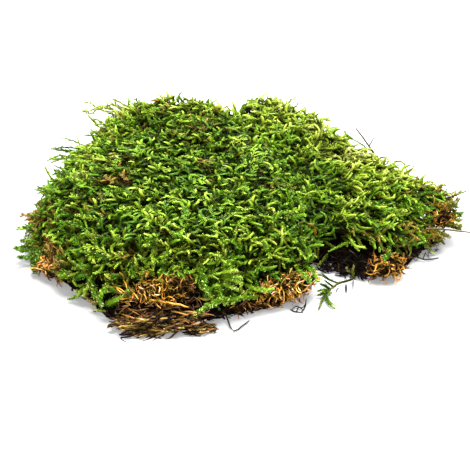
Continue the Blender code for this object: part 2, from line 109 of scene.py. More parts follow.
# %% Floor
FLOOR_CORNERS = [(-6, -4, 0), (6, -4, 0), (6, 12, 0), (-6, 12, 0)]
PAPER = (0.34, 0.34, 0.34, 1)
PAPER_GLOW = 0.19  # the paper gives a little light of its own, so that it stays white to its edge
WHITE = (1, 1, 1, 1)

floor_mesh = bpy.data.meshes.new("floor")
floor_mesh.from_pydata(FLOOR_CORNERS, [], [(0, 1, 2, 3)])
floor = add_object("floor", floor_mesh)
paper, _, paper_inputs = new_material("white table", 0.7, 0.2)
paper_inputs["Base Color"].default_value = PAPER
paper_inputs["Emission Color"].default_value = WHITE
paper_inputs["Emission Strength"].default_value = PAPER_GLOW
floor_mesh.materials.append(paper)
print("the floor reaches from", FLOOR_CORNERS[0][:2], "to", FLOOR_CORNERS[2][:2], "metres")

# %% Lights
# Each panel: its name, where it stands, how wide it is and its power. All of them look at the moss's middle
PANELS = [
    ("overhead panel", (0.15, 0.22, 1.35), 0.9, 97),
    ("back panel", (0.35, 1.0, 0.8), 1.6, 42),
    ("front fill", (-0.3, -1.3, 0.8), 1.0, 21),
]
SKY_STRENGTH = 0.6

for name, place, size, power in PANELS:
    panel_data = bpy.data.lights.new(name, "AREA")
    panel_data.shape = "SQUARE"
    panel_data.size = size
    panel_data.energy = power
    panel = add_object(name, panel_data)
    panel.location = place
    panel.rotation_euler = (-Vector(place)).to_track_quat("-Z", "Y").to_euler()
    print(name, "of", power, "watts at", place)

sky = bpy.data.worlds.new("white sky")
sky.use_nodes = True
sky_inputs = sky.node_tree.nodes["Background"].inputs
sky_inputs["Color"].default_value = WHITE
sky_inputs["Strength"].default_value = SKY_STRENGTH
bpy.context.scene.world = sky
bpy.context.scene.view_settings.view_transform = "Standard"
bpy.context.scene.view_settings.look = "None"


# %% [markdown]
# Building node trees.
# Every tree in this lesson is built in code. One helper adds a node and either sets each of its inputs or
# links it, so that a tree reads from top to bottom like a recipe. Another helper runs a tree on a mesh.

# %% Node helper
def add_node(tree, kind, inputs=None, **settings):
    """A new node, with its settings, and with each input set to a value or linked to a socket."""
    node = tree.nodes.new(kind)
    for name, value in settings.items():
        setattr(node, name, value)
    for key, value in (inputs or {}).items():
        if isinstance(value, bpy.types.NodeSocket):
            tree.links.new(value, node.inputs[key])
        else:
            node.inputs[key].default_value = value
    return node


def new_tree(name, sockets):
    """A geometry tree with these inputs, name and kind and default, and its first and last node."""
    tree = bpy.data.node_groups.new(name, "GeometryNodeTree")
    tree.interface.new_socket("Geometry", in_out="INPUT", socket_type="NodeSocketGeometry")
    tree.interface.new_socket("Geometry", in_out="OUTPUT", socket_type="NodeSocketGeometry")
    for label, kind, default in sockets:
        socket = tree.interface.new_socket(label, in_out="INPUT", socket_type="NodeSocket" + kind)
        if default is not None:
            socket.default_value = default
    return tree, add_node(tree, "NodeGroupInput"), add_node(tree, "NodeGroupOutput")


def run_tree(source, tree, values, name):
    """The mesh that a tree makes from an object, as a new object of its own."""
    work = add_object(name, source.data)
    modifier = work.modifiers.new("tree", "NODES")
    modifier.node_group = tree
    for item in tree.interface.items_tree:
        if item.item_type == "SOCKET" and item.in_out == "INPUT" and item.name in values:
            modifier[item.identifier] = values[item.name]
    shown = work.evaluated_get(bpy.context.evaluated_depsgraph_get())
    mesh = bpy.data.meshes.new_from_object(shown)
    work.modifiers.remove(modifier)
    work.data = mesh
    mesh.name = name
    return work


# %% [markdown]
# Bed.
# Under the shoots lies a dark felt of old stems. Its near-black colour is partly its own and partly painted
# shade, for the depths between the shoots. It is the sheet's solid, drawn in by a few millimetres.
# Turning the solid into a volume whose density grows inwards, and back into a mesh at a chosen depth, draws
# it in evenly and drops the thin shoots of the rim, which a plain displacement would turn inside out.

# %% Bed tree
BAND = 12 * MM

bed_tree, bed_in, bed_out = new_tree("draw in", [("Depth", "Float", 0.5), ("Voxel", "Float", 1.5 * MM)])
bed_volume = add_node(
    bed_tree, "GeometryNodeMeshToVolume",
    {
        "Mesh": bed_in.outputs["Geometry"], "Voxel Size": bed_in.outputs["Voxel"],
        "Interior Band Width": BAND, "Density": 1.0,
    },
    resolution_mode="VOXEL_SIZE",
)
bed_skin = add_node(
    bed_tree, "GeometryNodeVolumeToMesh",
    {
        "Volume": bed_volume.outputs["Volume"], "Voxel Size": bed_in.outputs["Voxel"],
        "Threshold": bed_in.outputs["Depth"], "Adaptivity": 0.0,
    },
    resolution_mode="VOXEL_SIZE",
)
bed_tree.links.new(bed_skin.outputs["Mesh"], bed_out.inputs["Geometry"])


def drawn_in(node, depth, voxel, name):
    """A node's surface, drawn in by a depth. The depth and the voxel are in millimetres."""
    source = bpy.data.objects.new("source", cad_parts[node].data.copy())
    work = bmesh.new()
    work.from_mesh(source.data)
    bmesh.ops.remove_doubles(work, verts=work.verts, dist=1e-6)
    work.to_mesh(source.data)
    work.free()
    made = run_tree(source, bed_tree, {"Depth": depth * MM / BAND, "Voxel": voxel * MM}, name)
    bpy.data.objects.remove(source)
    print(name, len(made.data.polygons), "faces")
    return made


bed = drawn_in("moss_sheet", depth=6.5, voxel=3.4, name="moss_bed")
ground_upper = drawn_in("moss_sheet", depth=2.6, voxel=2.6, name="ground_upper")


# %% [markdown]
# Where the colour changes.
# The moss isn't one green. The crest and the ridge of the right lobe are yellow-green, the back left is
# olive, and rust-brown spots show where shoots have died. One number, the tone, says how alive a shoot is:
# 0 is dead and brown, 0.5 deep green and 1 pale yellow-green. It is painted on the ground that the shoots
# grow from.

# %% Where the tone changes
BASE_TONE = 0.59
DARKER_AT_THE_TABLE = 0.22
# Each patch: x, y and radius in millimetres, its tone, and how strongly it covers those before it
TONE_PATCHES = [
    (-60, 70, 60, 0.60, 0.5), (-103, 85, 30, 0.60, 0.6), (28, 107, 30, 0.83, 0.8), (55, 90, 22, 0.81, 0.7),
    (84, 46, 30, 0.88, 0.9), (112, 22, 26, 0.80, 0.9), (134, 8, 14, 0.84, 0.8), (66, 66, 24, 0.78, 0.8),
    (72, -5, 15, 0.74, 0.8), (92, 2, 20, 0.71, 0.8), (128, -12, 12, 0.40, 0.8), (100, -45, 22, 0.62, 0.6),
    (72, -46, 16, 0.62, 0.7), (22, 24, 22, 0.52, 0.5), (-4, -40, 26, 0.62, 0.5), (-40, 16, 34, 0.50, 0.6),
    (-84, 8, 16, 0.76, 0.8), (-94, -7, 8, 0.11, 0.95), (-83, -5, 7, 0.12, 0.9), (22, -16, 6, 0.14, 0.8),
    (-28, 12, 6, 0.08, 0.95), (-36, 68, 10, 0.14, 0.9), (-150, -9, 13, 0.18, 0.7), (20, -10, 20, 0.52, 0.5),
    (-52, -112, 12, 0.28, 0.6), (24, -99, 12, 0.30, 0.7), (-27, -112, 8, 0.34, 0.6),
    (-20, -60, 30, 0.56, 0.5), (52, 4, 14, 0.50, 0.6), (-60, 50, 20, 0.52, 0.4), (46, -60, 14, 0.40, 0.7),
    (139, -20, 15, 0.32, 0.85), (104, -60, 12, 0.30, 0.8), (-60, -30, 24, 0.58, 0.5),
    (40, -25, 14, 0.50, 0.6), (-56, -80, 16, 0.72, 0.5), (46, -76, 10, 0.42, 0.8), (30, 24, 15, 0.38, 0.8),
    (30, 58, 13, 0.58, 0.7), (-60, 58, 14, 0.46, 0.6), (76, 38, 14, 0.92, 0.8), (49, -45, 11, 0.42, 0.7),
    (-94, -92, 10, 0.46, 0.6), (-35, -112, 10, 0.46, 0.6), (-88, -106, 10, 0.40, 0.5),
    (-14, -98, 14, 0.60, 0.5), (-35, -22, 13, 0.54, 0.6), (-51, -99, 15, 0.76, 0.7),
    (-31, -99, 13, 0.78, 0.7), (8, -96, 12, 0.60, 0.6), (8, -82, 11, 0.66, 0.6), (-73, -98, 16, 0.70, 0.5),
    (-38, 104, 16, 0.79, 0.6), (-95, -68, 14, 0.68, 0.5), (50, -13, 12, 0.72, 0.5),
]
# Where dead shoots are mixed in among the green: x, y and radius in millimetres, and their share
DEAD_PATCHES = [
    (-142, -37, 14, 0.62), (-150, -12, 10, 0.4), (-136, -48, 12, 0.5), (-127, -74, 11, 0.4),
    (-119, -86, 10, 0.3), (-100, -107, 11, 0.45), (-90, -108, 11, 0.45), (-77, -114, 12, 0.5),
    (-91, -9, 10, 0.65), (-90, 12, 12, 0.3), (-34, 66, 11, 0.6), (22, -16, 6, 0.6), (-118, -30, 16, 0.22),
    (-77, -97, 10, 0.2), (140, -13, 18, 0.35), (128, -30, 14, 0.4), (116, -48, 14, 0.5),
    (-75, 80, 40, 0.15), (100, -63, 14, 0.4), (80, -60, 14, 0.2), (55, -73, 8, 0.15), (0, -106, 12, 0.2),
    (20, -104, 12, 0.4),
]


# %% Tone of the ground
def smooth_share(value, low, high):
    """0 below low, 1 above high, and a smooth change between."""
    share = max(0.0, min(1.0, (value - low) / (high - low)))
    return share * share * (3 - 2 * share)


def nearness(across, back, radius):
    """How near a place is to a middle, from how far off it is in x and y: 1 there, almost 0 at two radii."""
    return math.exp(-(across ** 2 + back ** 2) / radius ** 2)


def tone_at(place):
    """The tone of the moss that grows at a place, in the drawing's millimetres."""
    tone = BASE_TONE + 0.16 * noise.noise(place / 26) + 0.24 * noise.noise(place / 9)
    for x, y, radius, target, strength in TONE_PATCHES:
        share = strength * nearness(place.x - x, place.y - y, radius)
        tone += (target - tone) * share
    low_down = 1.0 - smooth_share(place.z, 5.0, 17.0)
    return tone - DARKER_AT_THE_TABLE * low_down


def dead_share_at(place):
    """How large a share of the shoots at a place are dead."""
    old_base = 0.3 * (1.0 - smooth_share(place.z, 4.0, 12.0))
    return old_base + max(
        share * nearness(place.x - x, place.y - y, radius) for x, y, radius, share in DEAD_PATCHES
    )


def grain_at(place):
    """The way that shoots tend to lie: outwards on the left, and down towards the tip on the right lobe."""
    left = smooth_share(-place.x, 30.0, 105.0)
    right = smooth_share(place.x, 45.0, 85.0)
    front = smooth_share(-place.y, 80.0, 110.0) * (1.0 - left)
    crest = smooth_share(place.y, 85.0, 115.0) * (1.0 - left)
    return (
        Vector((-1.1, 0.1, 0)) * left + Vector((2.5, -0.9, 0)) * right + Vector((0.1, -0.6, -0.2)) * front
        + Vector((0.1, 0.7, 0.2)) * crest
    )


# %% Hollows
# Where nothing green grows, so that the dark inside shows: x, y, z and radius in millimetres. In the hollows
# the bare near-black felt stands for their shade, as painted shade. They are the hollow under the right
# lobe, the torn edge under the right tip, the hole at the front left, the gap at the back left and the dead
# tufts
HOLLOWS = [
    (60, -57, 13, 11), (70, -60, 16, 13), (82, -62, 16, 13), (94, -62, 13, 10), (128, -46, 5, 11),
    (138, -36, 5, 9), (-99, -107, 14, 8), (-95, -106, 17, 10), (-114, 72, 30, 8), (-136, -52, 22, 7),
    (-133, -60, 16, 8), (-129, -68, 12, 8), (-126, -76, 7, 7), (66, -61, 19, 9), (58, -66, 22, 11),
    (62, -56, 30, 9), (47, -78, 15, 6), (-118, -94, 6, 6), (-112, -95, 14, 6), (-106, -101, 20, 5),
    (-66, -117, 23, 8), (-56, -118, 22, 10), (-44, -118, 22, 10), (-34, -118, 20, 8), (14, -102, 12, 8),
    (26, -98, 13, 8), (38, -92, 13, 8), (52, -68, 20, 11), (138, -37, 12, 8), (-20, -118, 8, 9),
    (-45, -120, 9, 10), (-70, -121, 9, 9), (140, -20, 21, 7), (150, -18, 19, 6),
]


def in_hollow(place):
    """How far a place is inside one of the hollows, 0 to 1."""
    reach = min((place - Vector((x, y, z))).length / radius for x, y, z, radius in HOLLOWS)
    return 1.0 - smooth_share(reach, 0.75, 1.15)


# %% Paint the ground
# How wide the large and the small humps are, in millimetres, and what sets the two apart
LARGE_HUMP, SMALL_HUMP = 7.5, 3.6
APART = Vector((3, 8, 1))


def store(mesh, numbers):
    """Stores named numbers for each point of a mesh."""
    for name, values in numbers.items():
        mesh.attributes.new(name, "FLOAT", "POINT").data.foreach_set("value", values)


def paint_ground(ground, humps):
    """Raises a ground in humps of a few millimetres, and stores its tone and how much grows on it.

    The fringe is strongest on the steep rim, where shoots stick out sideways.
    """
    mesh = ground.data
    numbers = {"tone": [], "cover": [], "fringe": [], "dead": []}
    grains = []
    places = [v.co / MM - SHIFT for v in mesh.vertices]
    normals = [v.normal.copy() for v in mesh.vertices]
    for v, place, normal in zip(mesh.vertices, places, normals):
        hump = noise.noise(place / LARGE_HUMP) + 0.6 * noise.noise(place / SMALL_HUMP + APART)
        v.co = v.co + normal * (humps * MM * (hump - 0.15))
        numbers["tone"].append(tone_at(place) + 0.07 * hump)
        faces_down = smooth_share(-normal.z, 0.35, 0.8)
        steep = 1.0 - smooth_share(normal.z, 0.2, 0.7)
        gap = smooth_share(hump, -0.45 + 0.25 * steep, 0.1 + 0.25 * steep)
        open_air = 1.0 - in_hollow(place)
        numbers["cover"].append((1.0 - 0.9 * faces_down) * (0.15 + 0.85 * gap) * open_air)
        numbers["fringe"].append(smooth_share(0.8 - abs(normal.z - 0.25), 0.1, 0.6) * open_air)
        numbers["dead"].append(dead_share_at(place))
        grains.extend(grain_at(place))
    store(mesh, numbers)
    mesh.attributes.new("grain", "FLOAT_VECTOR", "POINT").data.foreach_set("vector", grains)
    mesh.update()


paint_ground(ground_upper, humps=3.0)
paint_ground(bed, humps=0.8)
print("painted", len(ground_upper.data.vertices), "points")


# %% [markdown]
# Shoots.
# A shoot of this moss is a thin stem hidden by small pointed leaves that overlap like roof tiles, so it
# looks like a plump finger with a serrated edge. Each leaf here is one small triangle, swept a little to
# one side. Some twenty shoots, straight, curved, waved and feathered, are drawn once and then grown
# thousands of times.
#
# Their colour is read from a UV map. Across the map runs the tone, and up the map the way from the shoot's
# base to its tip, so that one small map colours every shoot.

# %% Shapes of triangles
UV_NAME = "OFBake"
MAP_EDGE = 0.01  # nothing reaches closer to the edge of the map
GOLDEN_ANGLE = math.radians(137.5)
LEAF_WIDE = 0.012  # how far a leaf spreads across the tone of the map


class ShapeOfTriangles:
    """Points, triangles and UVs, gathered before they become a mesh."""

    def __init__(self):
        self.points, self.faces, self.uvs = [], [], []

    def add(self, points, faces, uvs):
        start = len(self.points)
        self.points.extend(points)
        for face in faces:
            self.faces.append(tuple(start + k for k in face))
            self.uvs.extend(uvs[k] for k in face)

    def mesh(self, name):
        made = bpy.data.meshes.new(name)
        made.from_pydata([tuple(p * MM) for p in self.points], [], self.faces)
        layer = made.uv_layers.new(name=UV_NAME)
        layer.data.foreach_set("uv", [value for uv in self.uvs for value in uv])
        made.update()
        return made


def join_model(piece, replaced=None):
    """Makes an object a piece of the model, in place of a node if one is named."""
    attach(piece, "root")
    if replaced:
        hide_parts(replaced)
    print(piece.name, len(piece.data.polygons), "faces")


def place_piece(shape, name, finish, replaced=None):
    """Makes a shape a piece of the model, with all of it above the table and its map in the unit square."""
    mesh = shape.mesh(name)
    for v in mesh.vertices:
        v.co.z = max(v.co.z, TABLE_TOP)
    uvs = np.empty(len(mesh.loops) * 2, dtype=np.float32)
    mesh.uv_layers[UV_NAME].data.foreach_get("uv", uvs)
    corners = uvs.reshape(-1, 3, 2)
    corners += np.maximum(0.0, MAP_EDGE - corners.min(axis=1, keepdims=True))
    corners -= np.maximum(0.0, corners.max(axis=1, keepdims=True) - (1 - MAP_EDGE))
    mesh.uv_layers[UV_NAME].data.foreach_set("uv", corners.ravel())
    mesh.materials.append(finish)
    join_model(add_object(name, mesh), replaced)


# %% Leaves and stems
def side_directions(ahead):
    """Two directions at right angles to a heading."""
    helper = Vector((0, 0, 1)) if abs(ahead.z) < 0.9 else Vector((1, 0, 0))
    across = ahead.cross(helper).normalized()
    return across, across.cross(ahead)


def side_faces(rings, sides):
    """The triangles round a tube of this many rings."""
    faces = []
    for k in range(rings - 1):
        for side in range(sides):
            a, b = k * sides + side, k * sides + (side + 1) % sides
            faces += [(a, b, b + sides), (a, b + sides, a + sides)]
    return faces


def add_stem(shape, path, radii, share_low, share_high, tone=0.0, sides=3, mottle=0.0):
    """A thin closed tube along a path. Its place on the map runs from one share of the shoot to another."""
    points, uvs = [], []
    last = len(path) - 1
    for k, (place, radius) in enumerate(zip(path, radii)):
        ahead = (path[min(k + 1, last)] - path[max(k - 1, 0)]).normalized()
        across, upward = side_directions(ahead)
        share = share_low + (share_high - share_low) * k / last
        for side in range(sides):
            turn = 2 * math.pi * side / sides
            points.append(place + radius * (across * math.cos(turn) + upward * math.sin(turn)))
            uneven = mottle * ((k * 7 + side * 4) % 5 / 2 - 1)
            uvs.append((tone + LEAF_WIDE * (side / (sides - 1) - 0.5), share + uneven))
    faces = side_faces(len(path), sides)
    for side in range(1, sides - 1):
        faces.append((side + 1, side, 0))
        faces.append((last * sides, last * sides + side, last * sides + side + 1))
    shape.add(points, faces, uvs)


def add_leaf(shape, root, ahead, outward, length, width, low, high, tone=0.0):
    """A leaf of one triangle. It is narrow and dark at the stem, as painted shade where the leaves overlap,
    and light at its broad, slanting end, as a painted highlight.
    """
    across = ahead.cross(outward).normalized() * width
    shape.add(
        [root, root + ahead * length * 0.6 + across * 0.6, root + ahead * length - across * 0.4],
        [(0, 2, 1)],
        [(tone - LEAF_WIDE / 2, low), (tone + LEAF_WIDE / 2, high - 0.08), (tone, high)],
    )


def curve_along(start, ahead, bend, length, steps):
    """A path that leaves a place along a heading and bends steadily."""
    place, heading, path = start.copy(), ahead.normalized(), [start.copy()]
    for _ in range(steps):
        heading = (heading + bend / steps).normalized()
        place = place + heading * (length / steps)
        path.append(place.copy())
    return path


def point_along(path, share):
    """The place and heading at a share of a path's length."""
    reach = share * (len(path) - 1)
    k = min(int(reach), len(path) - 2)
    step = path[k + 1] - path[k]
    return path[k] + step * (reach - k), step.normalized()


def radius_at(thick, share):
    """How thick a stem is at a share of its length: most near its middle, and thin at its tip."""
    return thick * (0.3 + 0.7 * math.sin(math.pi * (0.22 + 0.74 * share)) ** 0.7)


def add_leafy(shape, path, leaves, leaf, thick, rng, share_low=0.0, tone=0.0, sides=3):
    """A stem with leaves round it in a spiral, all swept to one side. They hug it more towards its tip."""
    last = len(path) - 1
    radii = [radius_at(thick, k / last) for k in range(last + 1)]
    # The stem is kept dark, as painted shade in the gaps between the leaves
    add_stem(shape, path, radii, 0.16 + 0.15 * share_low, 0.44 + 0.1 * share_low, tone, sides, 0.08)
    spin = rng.uniform(0, 6)
    sweep = rng.uniform(-0.3, 0.3)
    for k in range(leaves):
        share = (k + 0.5) / leaves
        root, heading = point_along(path, 0.97 * share)
        across, upward = side_directions(heading)
        turn = spin + k * GOLDEN_ANGLE
        outward = across * math.cos(turn) + upward * math.sin(turn)
        splay = math.radians(rng.uniform(22, 48)) * (1.0 - 0.4 * share ** 2)
        ahead = (heading * math.cos(splay) + outward * math.sin(splay) + across * sweep).normalized()
        size = leaf * rng.uniform(0.8, 1.2) * (1.0 - 0.3 * abs(share - 0.4) / 0.6)
        face = outward * math.cos(splay) - heading * math.sin(splay)
        height = share_low + (1.0 - share_low) * share
        # Each leaf runs from a dark base, painted shade, to a light tip, a painted highlight; some tips are
        # brighter still, as painted glints
        low = max(0.02, 0.06 + 0.12 * height + rng.choice([-0.04, 0.0, 0.04, 0.1]))
        high = min(0.99, 0.4 + 0.26 * height + rng.choice([-0.28, -0.14, 0.0, 0.16, 0.38]))
        own = tone + rng.uniform(-0.06, 0.06)
        start = root + outward * radius_at(thick, share) * 0.85
        add_leaf(shape, start, ahead, face, size, size * 0.6, low, high, own)


# %% The shoots that are grown
ROOT, UP = Vector((0, 0, -1)), Vector((0, 0, 1))


def finger(length, bend, leaves, leaf, thick, seed, wave=0.0):
    """One finger of moss that grows up Z. It bends towards Y, along the ground, and a little towards X.

    With a wave it swings to one side first and then to the other.
    """
    rng = random.Random(seed)
    shape = ShapeOfTriangles()
    turn = Vector((rng.uniform(-0.25, 0.25), bend, 0))
    if wave:
        swing = Vector((rng.uniform(-0.3, 0.3), 1, 0)) * wave
        path = curve_along(ROOT, UP, turn + swing, length / 2, 3)
        path += curve_along(path[-1], path[-1] - path[-2], turn - swing * 1.6, length / 2, 3)[1:]
    else:
        path = curve_along(ROOT, UP, turn, length, 3 if abs(bend) < 1.0 else 4)
    add_leafy(shape, path, leaves, leaf, thick, rng, sides=4 if thick > 0.7 else 3)
    return shape


def feather(length, bend, branches, leaf, seed):
    """A flat frond: a stem with side shoots to the left and the right in turn, shorter towards its tip."""
    rng = random.Random(seed)
    shape = ShapeOfTriangles()
    path = curve_along(ROOT, UP, Vector((0.15, bend, 0)), length, 4)
    add_leafy(shape, path, int(length * 2.0), leaf, 0.6, rng)
    for k in range(branches):
        share = 0.15 + 0.65 * k / max(1, branches - 1)
        root, heading = point_along(path, share)
        across = Vector((1, 0, 0)).cross(heading)
        side = across if k % 2 else -across
        ahead = heading * 0.75 + side * 0.75 + Vector((rng.uniform(-0.2, 0.3), 0, 0))
        reach = length * rng.uniform(0.34, 0.44) * (1.0 - 0.45 * share)
        twig = curve_along(root, ahead, heading * 0.7, reach, 2)
        add_leafy(shape, twig, max(6, int(reach * 2.2)), leaf * 0.9, 0.55, rng, 0.35)
    return shape


def gather(name, shapes):
    """A collection of these shapes as objects, for a tree to pick from."""
    group = bpy.data.collections.new(name)
    for k, shape in enumerate(shapes):
        group.objects.link(bpy.data.objects.new(f"{name}_{k:02d}", shape.mesh(f"{name}_{k:02d}")))
    counts = [len(shape.faces) for shape in shapes]
    print(name, "have", min(counts), "to", max(counts), "triangles, on average", sum(counts) // len(counts))
    return group


# Each finger: its length, bend, leaves, leaf length, thickness and seed, and the wave of some
plump = [
    finger(8.5, 0.8, 28, 1.4, 1.3, 1), finger(9.5, -1.0, 30, 1.4, 1.25, 2),
    finger(11.0, 0.8, 32, 1.35, 1.2, 3, 0.9), finger(12.5, -0.5, 36, 1.35, 1.15, 4, -1.0),
    finger(7.5, 0.5, 26, 1.45, 1.35, 5), finger(9.0, 2.6, 30, 1.35, 1.15, 6),
    finger(10.5, -2.2, 32, 1.35, 1.15, 7), finger(10.0, 0.3, 32, 1.4, 1.2, 8, -0.8),
]
slender = [
    finger(8.0, 1.4, 20, 1.25, 0.72, 11), finger(9.5, -2.0, 22, 1.25, 0.7, 12),
    finger(10.5, 2.8, 24, 1.2, 0.68, 13), finger(9.0, -0.8, 22, 1.3, 0.75, 14, 0.9),
    finger(7.0, 2.2, 18, 1.3, 0.75, 15), finger(11.5, 0.8, 26, 1.2, 0.68, 16, -1.1),
]
feathered = [feather(12.0, 0.4, 4, 1.35, 21), feather(14.0, -0.5, 5, 1.35, 22)]
trailing = [
    finger(14.0, 0.4, 38, 1.15, 1.0, 31, 0.9), finger(17.0, -0.3, 44, 1.15, 0.95, 32, 0.8),
    finger(19.0, 0.4, 48, 1.1, 0.9, 33, -1.0), finger(12.0, -0.6, 34, 1.15, 1.05, 34, 0.8),
    finger(15.0, 0.8, 40, 1.15, 0.9, 35, -0.9),
]
green_shoots = gather("green_shoots", plump + slender[:5] + feathered + trailing[3:5] + trailing[:1])
long_shoots = gather("long_shoots", trailing + plump[2:4] + slender[:2])


# %% [markdown]
# Growing the shoots.
# A Geometry Nodes tree does the sowing. It scatters points with an even spacing, more where the ground says
# that more grows, and sets a shoot on each. Shoots lie rather than stand: each leaves the ground at a
# slant, in a direction of its own. The tree adds the ground's tone to the map of each shoot, with some luck
# of its own, and it darkens the shoots that lie deep near the bed, as painted shade.

# %% Growing tree
CROWN = 47.5 * MM  # above this height shoots are pressed flat
PRESSED = 0.65  # how much of what stands above the crown is taken away
# Painted shade: shoots right on the bed are darkened to this share of the way up the map
PAINTED_BED_SHADE = 0.16  # how much of the way up the map is left on the bed

grow_tree, grow_in, grow_out = new_tree("grow shoots", [
    ("Shoots", "Collection", None), ("Spacing", "Float", 2.6 * MM), ("Most", "Float", 200000.0),
    ("Seed", "Int", 0), ("Lift", "Float", 0.5), ("Smallest", "Float", 0.8), ("Largest", "Float", 1.2),
    ("From X", "Float", -1.0), ("To X", "Float", 1.0), ("Tone Shift", "Float", 0.0),
    ("Tone Spread", "Float", 0.1), ("Dead Share", "Float", 0.012), ("Rise", "Float", 0.0),
    ("Bed", "Object", None), ("Painted Shade Below", "Float", 0.0038), ("Painted Shade Ends Above", "Float", 0.0108),
    ("Cover Name", "String", "cover"), ("Finish", "Material", None),
])
given = grow_in.outputs


def grow_node(kind, inputs=None, output=0, **settings):
    """What a new node of the growing tree gives."""
    return add_node(grow_tree, kind, inputs, **settings).outputs[output]


def maths(operation, *values):
    """The result of a sum on numbers."""
    return grow_node("ShaderNodeMath", dict(enumerate(values)), operation=operation)


def vectors(operation, *values):
    """The result of a sum on vectors."""
    return grow_node("ShaderNodeVectorMath", dict(enumerate(values)), operation=operation)


def scaled(vector, scale):
    """A vector times a number."""
    return grow_node("ShaderNodeVectorMath", {0: vector, "Scale": scale}, operation="SCALE")


def attribute(name, kind="FLOAT"):
    """What is stored under a name."""
    return grow_node("GeometryNodeInputNamedAttribute", {"Name": name}, data_type=kind)


def chance(low, high, offset, kind="FLOAT"):
    """A random value for each point, whose seed is the tree's seed plus an offset."""
    first, output = {"FLOAT_VECTOR": (0, 0), "FLOAT": (2, 1), "INT": (4, 2)}[kind]
    own_seed = maths("ADD", given["Seed"], float(offset))
    return grow_node(
        "FunctionNodeRandomValue", {first: low, first + 1: high, 8: own_seed}, output, data_type=kind
    )


# %% Growing tree: where the shoots stand
ground_x = grow_node("ShaderNodeSeparateXYZ", {0: grow_node("GeometryNodeInputPosition")})
in_strip = maths(
    "MULTIPLY", maths("GREATER_THAN", ground_x, given["From X"]), maths("LESS_THAN", ground_x, given["To X"])
)
sown = add_node(
    grow_tree, "GeometryNodeDistributePointsOnFaces",
    {
        "Mesh": given["Geometry"], "Selection": in_strip, "Distance Min": given["Spacing"],
        "Density Max": given["Most"], "Density Factor": attribute(given["Cover Name"]),
        "Seed": given["Seed"],
    },
    distribute_method="POISSON",
)
normal = sown.outputs["Normal"]

# %% Growing tree: how they lie
# A random direction along the ground, plus some of the ground's own direction
any_way = chance((-1.0, -1.0, -1.0), (1.0, 1.0, 1.0), 1, "FLOAT_VECTOR")
wild = vectors("ADD", any_way, attribute("grain", "FLOAT_VECTOR"))
flat = vectors("NORMALIZE", vectors("SUBTRACT", wild, vectors("PROJECT", wild, normal)))
steepness = maths("POWER", chance(0.0, 1.0, 2), 3.0)
lift = maths("MULTIPLY", given["Lift"], maths("MULTIPLY_ADD", steepness, 5.0, 0.2))
ahead = vectors("ADD", flat, scaled(normal, lift))
pointed = grow_node("FunctionNodeAlignRotationToVector", {"Vector": ahead}, axis="Z")
laid = grow_node(
    "FunctionNodeAlignRotationToVector", {"Rotation": pointed, "Vector": normal}, axis="X", pivot_axis="Z"
)
roll = grow_node("FunctionNodeAxisAngleToRotation", {"Axis": (0.0, 0.0, 1.0), "Angle": chance(-0.7, 0.7, 3)})
turned = grow_node(
    "FunctionNodeRotateRotation", {"Rotation": laid, "Rotate By": roll}, rotation_space="LOCAL"
)

# %% Growing tree: their tone
luck = maths("MULTIPLY", chance(-1.0, 1.0, 4), given["Tone Spread"])
live_tone = maths("ADD", maths("ADD", attribute("tone"), given["Tone Shift"]), luck)
is_dead = maths("LESS_THAN", chance(0.0, 1.0, 7), maths("ADD", attribute("dead"), given["Dead Share"]))
dead_tone = chance(0.17, 0.42, 8)
chosen_tone = grow_node("ShaderNodeMix", {0: is_dead, 2: live_tone, 3: dead_tone}, data_type="FLOAT")
own_tone = maths("MINIMUM", maths("MAXIMUM", chosen_tone, 0.08), 0.9)
toned = grow_node(
    "GeometryNodeStoreNamedAttribute",
    {"Geometry": sown.outputs["Points"], "Name": "own_tone", "Value": own_tone},
    data_type="FLOAT", domain="POINT",
)

# %% Growing tree: planting
rise = scaled(normal, maths("MULTIPLY", given["Rise"], chance(0.0, 1.0, 9)))
raised_points = grow_node("GeometryNodeSetPosition", {"Geometry": toned, "Offset": rise})
choices = grow_node("GeometryNodeCollectionInfo", {
    "Collection": given["Shoots"], "Separate Children": True, "Reset Children": True,
})
planted = grow_node("GeometryNodeInstanceOnPoints", {
    "Points": raised_points, "Instance": choices, "Pick Instance": True,
    "Instance Index": chance(0, 1000, 5, "INT"), "Rotation": turned,
    "Scale": chance(given["Smallest"], given["Largest"], 6),
})
solid_shoots = grow_node("GeometryNodeRealizeInstances", {0: planted})

# %% Growing tree: shade
# Painted shade: shoots deep down, near the bed, are darkened as if in shade: the way up the map shrinks near
# the bed
bed_shape = grow_node(
    "GeometryNodeObjectInfo", {"Object": given["Bed"]}, "Geometry", transform_space="ORIGINAL"
)
above_bed = grow_node("GeometryNodeProximity", {0: bed_shape}, "Distance", target_element="FACES")
painted_light_share = grow_node(
    "ShaderNodeMapRange",
    {0: above_bed, 1: given["Painted Shade Below"], 2: given["Painted Shade Ends Above"], 3: PAINTED_BED_SHADE, 4: 1.0},
    interpolation_type="SMOOTHSTEP",
)
map_scale = grow_node("ShaderNodeCombineXYZ", {"X": 1.0, "Y": painted_light_share, "Z": 1.0})
map_shift = grow_node("ShaderNodeCombineXYZ", {"X": attribute("own_tone")})
moved_map = vectors("MULTIPLY_ADD", attribute(UV_NAME, "FLOAT_VECTOR"), map_scale, map_shift)
mapped = grow_node(
    "GeometryNodeStoreNamedAttribute", {"Geometry": solid_shoots, "Name": UV_NAME, "Value": moved_map},
    data_type="FLOAT2", domain="CORNER",
)

